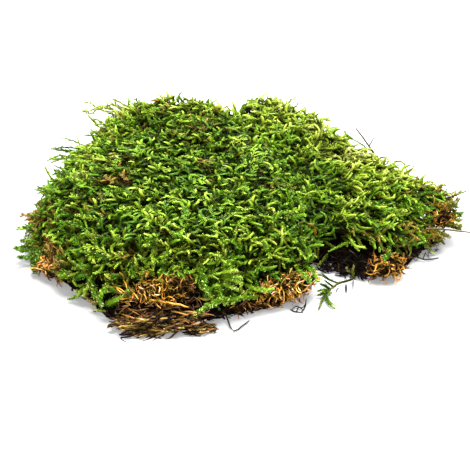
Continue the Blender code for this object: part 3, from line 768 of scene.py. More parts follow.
# %% Growing tree: rest
# Nothing grows into the table, and shoots on the crown are pressed flat
grown_at = add_node(grow_tree, "ShaderNodeSeparateXYZ", {0: grow_node("GeometryNodeInputPosition")}).outputs
above_crown = maths("MAXIMUM", maths("SUBTRACT", grown_at["Z"], CROWN), 0.0)
pressed = maths("SUBTRACT", grown_at["Z"], maths("MULTIPLY", above_crown, PRESSED))
on_table = grow_node("ShaderNodeCombineXYZ", {
    "X": grown_at["X"], "Y": grown_at["Y"], "Z": maths("MAXIMUM", pressed, TABLE_TOP),
})
rested = grow_node("GeometryNodeSetPosition", {"Geometry": mapped, "Position": on_table})
coloured = grow_node("GeometryNodeSetMaterial", {"Geometry": rested, "Material": given["Finish"]})
grow_tree.links.new(coloured, grow_out.inputs["Geometry"])
print("the growing tree has", len(grow_tree.nodes), "nodes")


# %% [markdown]
# Moss finish.
# The colour is read from the map: the tone picks it, from dead brown to pale yellow-green, and the way up
# the shoot makes it darker at the base, where old leaves are, and lighter at the growing tip. Much of that
# is painted light: the dark base also stands for the shade deep in the mat, and the pale, bluer tips are a
# painted highlight. The leaves are matte.

# %% Colours
def linear(*screen):
    """A colour from its 0 to 255 screen values of red, green and blue."""
    shares = [value / 255 for value in screen]
    return tuple(v / 12.92 if v <= 0.04045 else ((v + 0.055) / 1.055) ** 2.4 for v in shares) + (1.0,)


def stops(*rows):
    """The stops of a ramp, from rows of a place and the 0 to 255 screen values of a colour."""
    return [(place, linear(*screen)) for place, *screen in rows]


def ramp(tree, factor, colours):
    """A colour ramp through these stops."""
    node = add_node(tree, "ShaderNodeValToRGB", {"Fac": factor})
    points = node.color_ramp.elements
    points[0].position, points[0].color = colours[0]
    points[1].position, points[1].color = colours[-1]
    for place, colour in colours[1:-1]:
        points.new(place).color = colour
    return node.outputs["Color"]


TONES = stops(
    (0.00, 50, 34, 16), (0.10, 130, 78, 18), (0.22, 150, 126, 44), (0.34, 120, 114, 36), (0.46, 64, 108, 20),
    (0.60, 118, 164, 32), (0.76, 176, 202, 62), (1.00, 210, 216, 118),
)
# The darkest stops, near black, are partly the litter's own colour and partly painted shade in the gaps of
# the bark and the litter
DEAD_TONES = stops(
    (0.00, 14, 10, 5), (0.10, 26, 19, 9), (0.20, 62, 45, 18), (0.40, 120, 88, 27), (0.55, 190, 142, 34),
    (0.70, 184, 147, 60), (0.85, 212, 188, 120), (1.00, 230, 214, 172),
)
# By how much a tone is multiplied on the way up a shoot. It is partly the shoot's own darker base and
# lighter
# tip, and partly painted light: the near-black low end is painted shade, and the tips get more blue, which
# makes them paler, as a painted highlight
WAY_UP_AND_PAINTED_LIGHT = [
    (0.0, (0.02, 0.02, 0.008, 1)), (0.12, (0.075, 0.075, 0.035, 1)), (0.35, (0.41, 0.42, 0.28, 1)),
    (0.6, (1.34, 1.14, 2.7, 1)), (0.82, (1.54, 1.29, 4.2, 1)), (1.0, (1.66, 1.4, 5.8, 1)),
]
# The pale colour of the driest tips, which is also a painted highlight
PALE_TIP_AND_HIGHLIGHT = linear(220, 228, 182)


# %% Moss material
def mapped_material(name, tones, roughness):
    """A finish that reads the tone and the way up from the map."""
    made, tree, inputs = new_material(name, roughness, 0.03)
    uv = add_node(tree, "ShaderNodeUVMap", uv_map=UV_NAME).outputs[0]
    across, up = add_node(tree, "ShaderNodeSeparateXYZ", {0: uv}).outputs[:2]
    shaded = add_node(
        tree, "ShaderNodeMix", {0: 1.0, 6: ramp(tree, across, tones), 7: ramp(tree, up, WAY_UP_AND_PAINTED_LIGHT)},
        data_type="RGBA", blend_type="MULTIPLY",
    ).outputs[2]
    # The driest tips are pale, whatever their tone: partly their own colour, and partly a painted highlight
    paleness_and_highlight = add_node(tree, "ShaderNodeMapRange", {0: up, 1: 0.72, 2: 1.0, 3: 0.0, 4: 0.8}).outputs[0]
    paled_and_highlighted = add_node(tree, "ShaderNodeMix", {0: paleness_and_highlight, 6: shaded, 7: PALE_TIP_AND_HIGHLIGHT}, data_type="RGBA")
    tree.links.new(paled_and_highlighted.outputs[2], inputs["Base Color"])
    return made


moss_green = mapped_material("moss green", TONES, 0.5)
dead_brown = mapped_material("dead stems", DEAD_TONES, 0.6)
print("made the finishes", moss_green.name, "and", dead_brown.name)


# %% Grow the canopy
SHORT = {
    "Shoots": green_shoots, "Spacing": 1.86 * MM, "Lift": 0.13, "Painted Shade Below": 0.0034, "Painted Shade Ends Above": 0.0103,
}
LONG = {
    "Shoots": long_shoots, "Spacing": 1.95 * MM, "Lift": 0.1, "Painted Shade Below": 0.0026, "Painted Shade Ends Above": 0.0093,
}
# The strips: their names, from which x to which, and how their shoots grow. On the right lobe they are long
STRIPS = [
    ("left", -1.0, -0.078, SHORT), ("middle", -0.078, -0.012, SHORT), ("fold", -0.012, 0.05, SHORT),
    ("right", 0.05, 1.0, LONG),
]


def grow_green(ground, name, values):
    """Green shoots grown on a ground."""
    return run_tree(ground, grow_tree, {"Bed": bed, "Finish": moss_green, **values}, name)


grown = [
    grow_green(ground_upper, "canopy_" + label, {
        "Most": 400000.0, "Seed": 11 + number, "Smallest": 0.8, "Largest": 1.15, "From X": low, "To X": high,
        "Tone Spread": 0.12, "Rise": 1.6 * MM, **way,
    })
    for number, (label, low, high, way) in enumerate(STRIPS)
]
grown.append(grow_green(bed, "undergrowth", {
    "Shoots": green_shoots, "Spacing": 4.2 * MM, "Most": 60000.0, "Seed": 31, "Lift": 0.4, "Smallest": 0.8,
    "Largest": 1.1, "Tone Shift": -0.16, "Tone Spread": 0.16, "Dead Share": 0.3,
}))
grown.append(grow_green(ground_upper, "fringe", {
    "Shoots": green_shoots, "Spacing": 4.0 * MM, "Most": 60000.0, "Seed": 47, "Lift": 0.45, "Smallest": 0.85,
    "Largest": 1.2, "Tone Spread": 0.16, "Cover Name": "fringe",
}))
bpy.data.objects.remove(ground_upper)
for piece in grown:
    join_model(piece)


# %% Felt under the shoots
def mottled_material(name, colours, scale, detail, roughness, specular):
    """A finish whose colour changes in small specks."""
    made, tree, inputs = new_material(name, roughness, specular)
    place = add_node(tree, "ShaderNodeTexCoord").outputs["Object"]
    specks = add_node(tree, "ShaderNodeTexNoise", {"Vector": place, "Scale": scale, "Detail": detail})
    tree.links.new(ramp(tree, specks.outputs["Fac"], colours), inputs["Base Color"])
    return made


# The size and detail of the specks, the roughness and the shine. What lies in the shade is dull
FELT = (260.0, 5.0, 0.95, 0.0)
BARE_STEM = (180.0, 4.0, 0.7, 0.1)

# Both felts are near black: partly their own dark colour, and partly painted shade for the depths between
# the shoots and under the litter
MOSS_FELT_AND_SHADE = stops((0.3, 7, 8, 2), (0.55, 20, 20, 5), (0.75, 38, 32, 9))
LITTER_FELT_AND_SHADE = stops((0.3, 5, 4, 2), (0.55, 16, 12, 7), (0.75, 34, 24, 13))

moss_felt_and_shade = mottled_material("dark felt", MOSS_FELT_AND_SHADE, *FELT)
litter_felt_and_shade = mottled_material("litter felt", LITTER_FELT_AND_SHADE, *FELT)
bed.data.materials.clear()
bed.data.materials.append(moss_felt_and_shade)
join_model(bed, "moss_sheet")


# %% [markdown]
# Stray shoots.
# Shoots that stick out past the sheet are what makes its outline ragged: feathery pale ones at the back
# left, a dark green cluster low on the left, and some plump bright ones that hang over the front. Each
# follows a path of its own, drawn where the photograph shows it.

# %% Paths of the stray shoots
def smooth_path(points, per_step):
    """A smooth curve through points of the drawing, in the model's millimetres."""
    points = [Vector(p) + SHIFT for p in points]
    ends = [points[0] * 2 - points[1]] + points + [points[-1] * 2 - points[-2]]
    path = []
    for k in range(1, len(ends) - 2):
        a, b, c, d = ends[k - 1:k + 3]
        for j in range(per_step):
            t = j / per_step
            path.append(0.5 * (
                2 * b + (c - a) * t + (2 * a - 5 * b + 4 * c - d) * t * t + (3 * b - a - 3 * c + d) * t ** 3
            ))
    return path + [points[-1]]


def path_length(path):
    """The length of a path."""
    return sum((b - a).length for a, b in zip(path, path[1:]))


def add_frond(shape, points, thick, leaf, tone, branches, reach, seed):
    """A leafy stem along a path, with side shoots of a given reach."""
    rng = random.Random(seed)
    path = smooth_path(points, 3)
    length = path_length(path)
    leaves = max(8, int(length * 2.8))
    add_leafy(shape, path, leaves, leaf * 0.72, thick, rng, 0.3, tone, 4 if thick > 1 else 3)
    for k in range(branches):
        share = 0.25 + 0.65 * (k + 0.5) / branches
        root, heading = point_along(path, share)
        across, upward = side_directions(heading)
        side = across * (1 if k % 2 else -1) + upward * rng.uniform(-0.3, 0.6)
        ahead = heading * rng.uniform(0.6, 1.0) + side * 0.8
        own_reach = reach * rng.uniform(0.7, 1.1) * (1.1 - 0.4 * share)
        twig = curve_along(root, ahead, heading * 0.8, own_reach, 3)
        twig_tone = tone + rng.uniform(-0.06, 0.08)
        add_leafy(shape, twig, max(6, int(reach * 2.6)), leaf * 0.66, thick * 0.7, rng, 0.4, twig_tone)


# Path, thickness, leaf length, tone, side shoots and their reach, and how many lie side by side, how far
# apart
STRAYS = [
    # Feathery pale shoots at the back left
    ([(-76, 104, 28), (-90, 109, 36), (-103, 110, 41), (-114, 114, 39), (-122, 112, 41), (-129, 115, 43)],
     0.72, 1.8, 0.78, 9, 7, 3, 4.0),
    ([(-80, 100, 32), (-96, 106, 38), (-108, 110, 42), (-118, 112, 43)], 0.72, 1.8, 0.76, 6, 6, 2, 3.5),
    ([(-98, 110, 38), (-105, 110, 43), (-109, 111, 48)], 0.43, 1.3, 0.72, 2, 3, 1, 0.0),
    ([(-84, 94, 24), (-97, 98, 30), (-108, 99, 31), (-114, 102, 36), (-120, 101, 40)],
     0.65, 1.7, 0.72, 7, 6, 3, 3.0),
    ([(-88, 82, 22), (-103, 84, 27), (-116, 85, 30), (-125, 86, 31)], 0.5, 1.4, 0.46, 4, 5, 2, 2.0),
    ([(-104, 86, 30), (-111, 90, 33), (-114, 95, 38)], 0.43, 1.3, 0.70, 3, 4, 1, 0.0),
    ([(-104, 57, 20), (-120, 59, 28), (-134, 61, 33), (-148, 63, 33)], 0.65, 1.7, 0.52, 8, 6, 3, 3.0),
    ([(-108, 49, 20), (-125, 51, 27), (-140, 53, 30), (-150, 54, 26)], 0.86, 2, 0.66, 6, 6, 3, 3.0),
    ([(-116, 60, 24), (-124, 62, 31), (-126, 64, 38), (-129, 66, 45)], 0.58, 1.1, 0.70, 0, 0, 1, 0.0),
    ([(-118, 35, 18), (-133, 37, 23), (-145, 40, 30)], 0.72, 1.8, 0.56, 5, 5, 3, 3.0),
    ([(-128, 26, 17), (-141, 28, 23), (-146, 29, 30), (-148, 30, 35)], 0.94, 2, 0.68, 3, 4, 1, 0.0),
    ([(-126, 18, 15), (-140, 20, 20), (-154, 21, 21)], 0.79, 1.9, 0.54, 5, 5, 3, 3.0),
    ([(-128, 4, 13), (-142, 4, 17), (-153, 3, 17)], 0.79, 1.9, 0.48, 5, 5, 3, 3.0),
    ([(-70, 110, 34), (-84, 114, 39), (-96, 115, 43), (-104, 114, 45)], 0.79, 1.9, 0.76, 6, 6, 3, 3.0),
    ([(-82, 104, 30), (-92, 104, 36), (-98, 103, 40), (-104, 104, 41)], 0.65, 1.6, 0.70, 5, 5, 2, 2.5),
    ([(-118, 66, 30), (-130, 67, 36), (-140, 67, 39)], 0.58, 1.5, 0.60, 5, 4, 1, 0.0),
    # The rust shoots and the dark green cluster low on the left
    ([(-134, -8, 9), (-148, -10, 15), (-161, -12, 15)], 1.2, 3.0, 0.18, 4, 5, 3, 2.5),
    ([(-138, -16, 8), (-152, -16, 11), (-166, -17, 11)], 1.2, 3.0, 0.58, 4, 5, 2, 2.5),
    ([(-132, -28, 10), (-145, -31, 14), (-156, -36, 12)], 1.5, 3.6, 0.50, 3, 7, 2, 3.0),
    ([(-132, -36, 9), (-146, -42, 9), (-153, -47, 5)], 1.7, 3.8, 0.47, 3, 7, 2, 3.0),
    ([(-136, -36, 9), (-150, -39, 13), (-158, -42, 15)], 1.4, 3.4, 0.52, 3, 6, 1, 0.0),
    ([(-134, -42, 8), (-143, -50, 6), (-142, -57, 2)], 1.8, 4.0, 0.50, 2, 7, 2, 3.0),
    ([(-136, -42, 9), (-151, -45, 9), (-161, -48, 14)], 1.4, 3.4, 0.50, 4, 6, 2, 2.5),
    ([(-136, -46, 6), (-149, -51, 6), (-160, -54, 9)], 1.4, 3.4, 0.46, 3, 6, 1, 0.0),
    ([(-130, -46, 9), (-141, -52, 10), (-148, -58, 4)], 1.8, 4.0, 0.52, 2, 6, 1, 0.0),
    ([(-139, -53, 17), (-146, -59, 12), (-147, -63, 4)], 1.5, 3.4, 0.47, 2, 6, 2, 2.5),
    ([(-138, -57, 14), (-144, -63, 9), (-145, -67, 3)], 1.3, 3.0, 0.45, 2, 5, 1, 0.0),
    ([(-138, -47, 27), (-135, -56, 25), (-131, -67, 20), (-127, -77, 12)], 0.7, 1.8, 0.24, 3, 4, 6, 3.0),
    ([(-134, -56, 14), (-133, -62, 12), (-130, -68, 6), (-128, -74, 3)], 0.6, 1.6, 0.16, 2, 3, 4, 2.5),
    ([(-96, -102, 8), (-102, -106, 5), (-106, -102, 4), (-110, -98, 6)], 0.8, 2.0, 0.26, 1, 3, 1, 1.5),
    # Plump bright shoots over the front left corner and the front
    ([(-86, -104, 27), (-92, -111, 23), (-96, -116, 17), (-95, -118, 11)], 1.8, 3.6, 0.60, 3, 4, 1, 0.0),
    ([(-92, -117, 12), (-87, -119, 16), (-81, -118, 19)], 2.2, 4.2, 0.62, 0, 0, 1, 0.0),
    ([(-88, -113, 3), (-96, -112, 3.5), (-104, -108, 2.5)], 0.6, 1.9, 0.74, 1, 4, 1, 0.0),
    ([(-91, -110, 22), (-97, -110, 16), (-100, -110, 9), (-106, -108, 9)], 0.8, 1.8, 0.28, 0, 0, 2, 1.0),
    ([(-114, -90, 14), (-112, -96, 20), (-106, -99, 24)], 1.6, 3.4, 0.56, 2, 5, 1, 0.0),
    ([(-112, -84, 26), (-106, -94, 22), (-102, -101, 13), (-98, -106, 7)], 1.8, 3.8, 0.56, 5, 6, 1, 0.0),
    ([(-30, -107, 38), (-28, -114, 31), (-25, -119, 24), (-22, -121, 19)], 1.6, 3.4, 0.58, 3, 4, 1, 0.0),
    ([(-18, -106, 29), (-9, -115, 33), (-2, -118, 34)], 1.6, 3.4, 0.68, 0, 0, 1, 0.0),
    ([(-18, -107, 27), (-9, -116, 31), (-2, -119, 30)], 1.6, 3.4, 0.66, 0, 0, 1, 0.0),
    ([(-17, -108, 31), (-11, -114, 36), (-6, -116, 39)], 1.5, 3.2, 0.68, 0, 0, 1, 0.0),
    ([(-18, -108, 25), (-11, -116, 26), (-5, -119, 25)], 1.6, 3.4, 0.63, 0, 0, 1, 0.0),
    ([(0, -106, 20), (10, -112, 20), (19, -112, 21)], 1.6, 3.4, 0.66, 2, 4, 1, 0.0),
    # Shoots on the right lobe's back and tip
    ([(40, 94, 32), (55, 100, 35), (70, 102, 36)], 0.9, 2.4, 0.64, 4, 4, 2, 2.0),
    ([(92, 52, 27), (92.1, 57, 35), (87.6, 59, 38.3), (81.5, 60, 41.2), (77, 61, 43)],
     0.55, 1.6, 0.6, 3, 3.5, 1, 0.0),
    ([(82, 60, 41), (77.6, 61, 44), (75.3, 62, 47)], 1.1, 2.2, 0.62, 2, 3.0, 1, 0.0),
    ([(118, 22, 20), (123, 36, 23), (119, 43, 30)], 0.5, 1.3, 0.34, 0, 0, 1, 0.0),
    ([(126, 14, 22), (137, 21, 24), (149, 20, 21)], 0.6, 1.6, 0.36, 0, 0, 1, 0.0),
    ([(124, -4, 20), (143, -4, 27), (158, -2, 30)], 1.0, 2.6, 0.34, 3, 5, 3, 3.0),
    ([(126, -9, 22), (145, -11, 26), (157, -12, 29)], 1.0, 2.6, 0.34, 3, 5, 3, 3.0),
    ([(138, -14, 18), (150, -17, 20), (157, -19, 23)], 1.1, 2.8, 0.44, 3, 5, 2, 2.5),
    ([(136, -22, 16), (148, -25, 17), (157, -24, 15)], 1.1, 2.8, 0.40, 3, 5, 2, 2.5),
    ([(130, -22, 17), (144, -22, 19), (156, -22, 21)], 1.2, 2.8, 0.38, 4, 5, 2, 2.0),
    ([(126, -30, 16), (138, -32, 14), (147, -34, 13)], 1.1, 2.8, 0.40, 4, 5, 2, 2.0),
    ([(128, -14, 24), (142, -16, 27), (152, -15, 31)], 1.0, 2.6, 0.32, 3, 4, 2, 2.5),
    ([(57, -67, 20), (53, -70, 16), (48, -73, 12)], 0.8, 2.0, 0.40, 1, 3, 1, 0.0),
    ([(74, -62, 27.5), (66, -65, 25.5), (57, -67, 21.5)], 0.8, 1.9, 0.66, 0, 0, 1, 0.0),
    # Green shoots over the right end of the middle tuft
    ([(34, -90, 24), (39, -95, 22), (44, -99, 17)], 1.2, 2.8, 0.55, 4, 3.5, 2, 1.5),
    ([(40, -84, 21), (44, -89, 20), (48, -93, 15)], 1.2, 2.8, 0.58, 4, 3.5, 2, 1.5),
    ([(42, -80, 18), (46, -84, 16), (50, -88, 12)], 1.1, 2.6, 0.52, 3, 3.5, 2, 1.5),
    ([(100, -56, 22), (99, -64, 18), (94, -70, 12)], 1.5, 3.4, 0.58, 3, 5, 1, 0.0),
]
HERRINGBONE = [(8, -112, 15), (-8, -119, 18), (-18, -121, 18), (-26, -124, 15), (-35, -125, 8)]

# %% Stray shoots along the paths
stray_shape = ShapeOfTriangles()
for number, (points, thick, leaf, tone, branches, reach, count, apart) in enumerate(STRAYS):
    rng = random.Random(800 + number)
    for k in range(count):
        moved = [Vector(p) + Vector([rng.uniform(-apart, apart) for _ in range(3)]) for p in points]
        moved[-1] = moved[-2].lerp(moved[-1], 1.0 - 0.25 * rng.random() * (k > 0))
        own = tone + rng.uniform(-0.08, 0.08)
        add_frond(stray_shape, moved, thick, leaf, own, branches, reach, 100 * number + k)
add_frond(stray_shape, HERRINGBONE, thick=1.7, leaf=3.6, tone=0.6, branches=0, reach=0.0, seed=77)

# The side shoots of the herringbone that hang towards the viewer
rng = random.Random(5)
spine = smooth_path(HERRINGBONE, 3)
for k in range(11):
    root, heading = point_along(spine, 0.12 + 0.85 * k / 10)
    down = Vector((-0.55, -0.35, -0.75)) if k % 3 else Vector((-0.3, -0.5, 0.5))
    twig = curve_along(root, down, heading * 0.7, rng.uniform(5.0, 7.0), 3)
    add_leafy(stray_shape, twig, 14, 2.0, 1.1, rng, share_low=0.45, tone=rng.uniform(0.54, 0.7))

place_piece(stray_shape, "stray_shoots", moss_green)


# %% [markdown]
# Dead stems and litter.
# Where the sheet was torn from the ground, dead stems show: curled, golden to rust, over a dark hollow.
# Below lies the litter, dark shreds of leaf and bark. Curled threads and flat shreds are drawn once, like
# the shoots, and sown on lumpy cores that are a little smaller than the solids they take the place of.

# %% Threads and shreds
CURL_STEPS = 6


def curl(length, bend, thick, seed):
    """A thin stem that curls in all directions."""
    rng = random.Random(seed)
    shape = ShapeOfTriangles()
    place, heading = Vector((0, 0, -0.5)), Vector((0, 0, 1))
    side = Vector((rng.uniform(-0.4, 0.4), 1, 0)).normalized()
    path = [place.copy()]
    for _ in range(CURL_STEPS):
        heading = (heading + side * bend / CURL_STEPS).normalized()
        side = (side - heading * side.dot(heading) + Vector((rng.uniform(-0.25, 0.25), 0, 0))).normalized()
        place = place + heading * length / CURL_STEPS
        path.append(place.copy())
    radii = [thick * (1.0 - 0.1 * k) for k in range(len(path))]
    add_stem(shape, path, radii, share_low=0.26, share_high=0.72, mottle=0.08)
    return shape


def shred(length, width, seed):
    """A flat, slightly twisted strip with ragged ends."""
    rng = random.Random(seed)
    shape = ShapeOfTriangles()
    points, uvs = [], []
    for k in range(4):
        turn = rng.uniform(-0.5, 0.5)
        across = Vector((math.sin(turn), math.cos(turn), 0)) * width / 2 * (0.5 if k in (0, 3) else 1.0)
        middle = Vector((rng.uniform(-0.3, 0.5), rng.uniform(-0.4, 0.4), length * (k / 3 - 0.1)))
        points += [middle - across, middle + across]
        share = rng.uniform(0.3, 0.95)
        uvs += [(-LEAF_WIDE, share), (LEAF_WIDE, min(0.98, share + 0.2))]
    faces = []
    for k in range(3):
        faces += [(2 * k, 2 * k + 1, 2 * k + 3), (2 * k, 2 * k + 3, 2 * k + 2)]
    thickness = Vector((-0.25, 0, 0))
    points += [p + thickness for p in points]
    # The back of a shred, which faces the ground, is darker: painted shade
    uvs += [(u, v * 0.7) for u, v in uvs]
    faces += [(c + 8, b + 8, a + 8) for a, b, c in faces]
    rim = [0, 2, 4, 6, 7, 5, 3, 1]
    for a, b in zip(rim, rim[1:] + rim[:1]):
        faces += [(a, b, b + 8), (a, b + 8, a + 8)]
    shape.add(points, faces, uvs)
    return shape


dead_threads = gather("dead_threads", [
    curl(8.0, 1.8, 0.6, 1), curl(10.0, 2.6, 0.5, 2), curl(7.0, 1.4, 0.66, 3), curl(12.0, 2.2, 0.46, 4),
    curl(9.0, 3.0, 0.52, 5), curl(9.0, -2.0, 0.6, 66), finger(6.0, 1.4, 12, 1.7, 0.6, 61),
    finger(7.5, -1.2, 14, 1.7, 0.55, 62), shred(5.0, 1.2, 63), finger(6.5, 1.8, 12, 1.6, 0.55, 64),
    curl(6.0, 1.0, 0.6, 65),
])
litter_bits = gather("litter_bits", [
    shred(7.0, 1.4, 71), shred(10.0, 1.0, 72), shred(5.0, 2.0, 73), shred(12.0, 0.8, 74),
    curl(9.0, 1.4, 0.34, 75), curl(6.0, 2.2, 0.32, 76), finger(6.0, 0.9, 11, 1.9, 0.5, 77),
])


# %% Lumpy cores with stems on them
# Where dead stems are more golden or darker than the rest: x, y and radius in millimetres, and the change
# of tone. The darkest, in the hollow under the right lobe and in the gap between the bark and the front
# tuft, are painted shade
DEAD_TONE_AND_SHADE_SHIFTS = [
    (-58, -118, 13, 0.08), (-34, -118, 13, -0.38), (18, -102, 12, 0.04), (48, -92, 8, -0.1),
    (50, -62, 12, -0.2), (70, -58, 18, -0.28),
]


def dress(node, depth, voxel, humps, tones, top, values, dry=0.0):
    """Puts a smaller, lumpy core in place of a node, and sows threads or shreds on it.

    The tones are the darkest and the palest. Where the core faces up more steeply than top, something else
    covers it, and less is sown. Dry is how much paler it is under the middle tuft.
    """
    core = drawn_in(node, depth, voxel, node + "_core")
    mesh = core.data
    tone_low, tone_high = tones
    core_tones, covers = [], []
    normals = [v.normal.copy() for v in mesh.vertices]
    for v, normal in zip(mesh.vertices, normals):
        place = v.co / MM
        hump = noise.noise(place / 6) + 0.5 * noise.noise(place / 2.6 + Vector((9, 1, 4)))
        v.co = v.co + normal * (humps * MM * (hump - 0.2))
        v.co.z = max(v.co.z, 0.0)
        share = 0.5 + 0.9 * noise.noise(place / 8 + Vector((2, 5, 8)))
        height = smooth_share(place.z, 2.0, 16.0)
        dry_end = smooth_share(place.x, -12, 14) * (1.0 - smooth_share(place.x, 42, 56)) * dry
        shift = sum(
            change * nearness(place.x - SHIFT.x - x, place.y - SHIFT.y - y, radius)
            for x, y, radius, change in DEAD_TONE_AND_SHADE_SHIFTS
        )
        mixed = tone_low + (tone_high - tone_low) * (0.6 * share + 0.4 * height)
        core_tones.append(mixed + dry_end + shift)
        covers.append((1.0 - smooth_share(-normal.z, 0.5, 0.9)) * (1.0 - smooth_share(normal.z, top, 1.0)))
    store(mesh, {"tone": core_tones, "cover": covers})
    mesh.materials.clear()
    mesh.materials.append(litter_felt_and_shade)
    # Stems right on the core are darkened as painted shade, up to 2.5 mm above it
    sown = run_tree(core, grow_tree, {
        "Dead Share": 0.0, "Bed": core, "Painted Shade Below": 0.0, "Painted Shade Ends Above": 2.5 * MM, "Finish": dead_brown,
        **values,
    }, node + "_stems")
    return core, sown


# %% Dress the dead tufts and the litter
# Each tuft's darkest and palest tone
TUFTS = {
    "dead_tuft_left": (0.40, 0.70), "dead_tuft_front": (0.34, 0.66), "dead_tuft_middle": (0.34, 0.68),
    "dead_tuft_foot": (0.28, 0.60), "dead_tuft_tip": (0.22, 0.52),
}
for number, (node, tones) in enumerate(TUFTS.items()):
    core, stems = dress(node, depth=1.8, voxel=1.6, humps=1.2, tones=tones, top=0.95, values={
        "Shoots": dead_threads, "Spacing": 1.3 * MM, "Most": 900000.0, "Seed": 201 + number, "Lift": 0.14,
        "Smallest": 0.7, "Largest": 1.15, "Tone Spread": 0.16, "Rise": 0.9 * MM,
    })
    join_model(core, node)
    join_model(stems)

# The litter's very dark tones are partly its own colour and partly painted shade under the overhanging moss
core, shreds = dress(
    "litter_mat", depth=0.6, voxel=2.4, humps=1.3, tones=(0.02, 0.2), top=0.3, dry=0.35,
    values={
        "Shoots": litter_bits, "Spacing": 1.9 * MM, "Most": 300000.0, "Seed": 301, "Lift": 0.12,
        "Smallest": 0.7, "Largest": 1.1, "Tone Spread": 0.12, "Rise": 0.5 * MM,
    },
)
join_model(core, "litter_mat")
join_model(shreds)


# %% [markdown]
# Rotten bark.
# The flakes of bark under the front edge have rotted along their grain, so each is a bundle of splinters
# rather than a plate. Each splinter is a short, tapered bar of its own length, so the ends are ragged.

# %% Splintered flakes
# Each flake: its node, its middle in the drawing, its length, width and thickness in millimetres, how far
# it is turned and tilted in degrees, and how far its splinters lean from its own direction
FLAKES = [
    ("bark_flake_1", (-63, -133, 1.7), 40, 10, 2.6, 3, 0, 0.35),
    ("bark_flake_2", (-46, -133.5, 5.8), 30, 9, 2.4, 8, 2, -0.4),
    ("bark_flake_3", (-78, -130, 5.7), 25, 9, 2.4, -8, -1, 0.5),
    ("bark_flake_4", (-30, -130.5, 1.7), 24, 9, 2.6, 16, 0, -0.4),
    ("bark_flake_5", (-61, -131.5, 10.2), 28, 8, 2.2, -3, 2, 0.3),
]
SPLINTERS, SPLINTER_RINGS = 60, 6
MOST_SWING = 0.65
PALE_TONE, PALE_SHADE = 0.6, 0.66  # above this tone a splinter is pale, and is kept this much darker
SPLINTER_SHARES = [0.34, 0.42, 0.5, 0.58, 0.66, 0.78]
SPLINTER_TONES = [0.05, 0.08, 0.12, 0.16, 0.2, 0.26, 0.32, 0.4, 0.72, 0.8]


def splinter(shape, start, end, width, height, tone, rng, shade=1.0):
    """A tapered bar with a rough back. Shade makes a pale one darker."""
    ahead = (end - start).normalized()
    across = Vector((-ahead.y, ahead.x, 0)).normalized()
    points, uvs = [], []
    for k in range(SPLINTER_RINGS):
        share = k / (SPLINTER_RINGS - 1)
        taper = 0.35 + 0.65 * math.sin(math.pi * min(1.0, max(0.0, share * 0.9 + 0.05))) ** 0.5
        middle = start.lerp(end, share) + across * rng.uniform(-0.6, 0.6)
        middle += Vector((0, 0, rng.uniform(-0.4, 0.4)))
        half = width / 2 * taper
        up = Vector((0, 0, height / 2 * taper))
        points += [
            middle - across * half - up, middle + across * half - up, middle + across * half * 0.6 + up,
            middle - across * half * 0.5 + up * rng.uniform(0.7, 1.2),
        ]
        bright = shade * rng.choice(SPLINTER_SHARES)
        left, right = tone - LEAF_WIDE, tone + LEAF_WIDE
        # The underside of each splinter is dark and its top lighter: painted shade below and painted light
        # on top
        uvs += [(left, 0.2), (right, 0.25), (right, bright), (left, bright * 0.9)]
    last = 4 * (SPLINTER_RINGS - 1)
    ends = [(3, 2, 1), (3, 1, 0), (last, last + 1, last + 2), (last, last + 2, last + 3)]
    shape.add(points, side_faces(SPLINTER_RINGS, 4) + ends, uvs)


for number, (node, middle, length, width, thick, turn, tilt, lean) in enumerate(FLAKES):
    rng = random.Random(400 + number)
    shape = ShapeOfTriangles()
    spin = Matrix.Rotation(math.radians(turn), 3, "Z") @ Matrix.Rotation(math.radians(-tilt), 3, "Y")
    centre = Vector(middle) + SHIFT
    for k in range(SPLINTERS):
        reach = rng.uniform(0.09, 0.26) * length
        place = Vector((
            rng.uniform(-1, 1) * (length / 2 - reach * 0.8), rng.uniform(-0.5, 0.5) * width,
            rng.uniform(-0.35, 0.6) * thick,
        ))
        swing = max(-MOST_SWING, min(MOST_SWING, rng.gauss(lean, 0.4)))
        ahead = Vector((math.cos(swing), math.sin(swing), rng.uniform(-0.3, 0.45))) * reach
        tone = rng.choice(SPLINTER_TONES)
        splinter(
            shape, centre + spin @ (place - ahead), centre + spin @ (place + ahead), rng.uniform(0.5, 1.7),
            rng.uniform(0.5, 1.3), tone, rng, PALE_SHADE if tone > PALE_TONE else 1.0,
        )
    place_piece(shape, node + "_splinters", dead_brown, node)


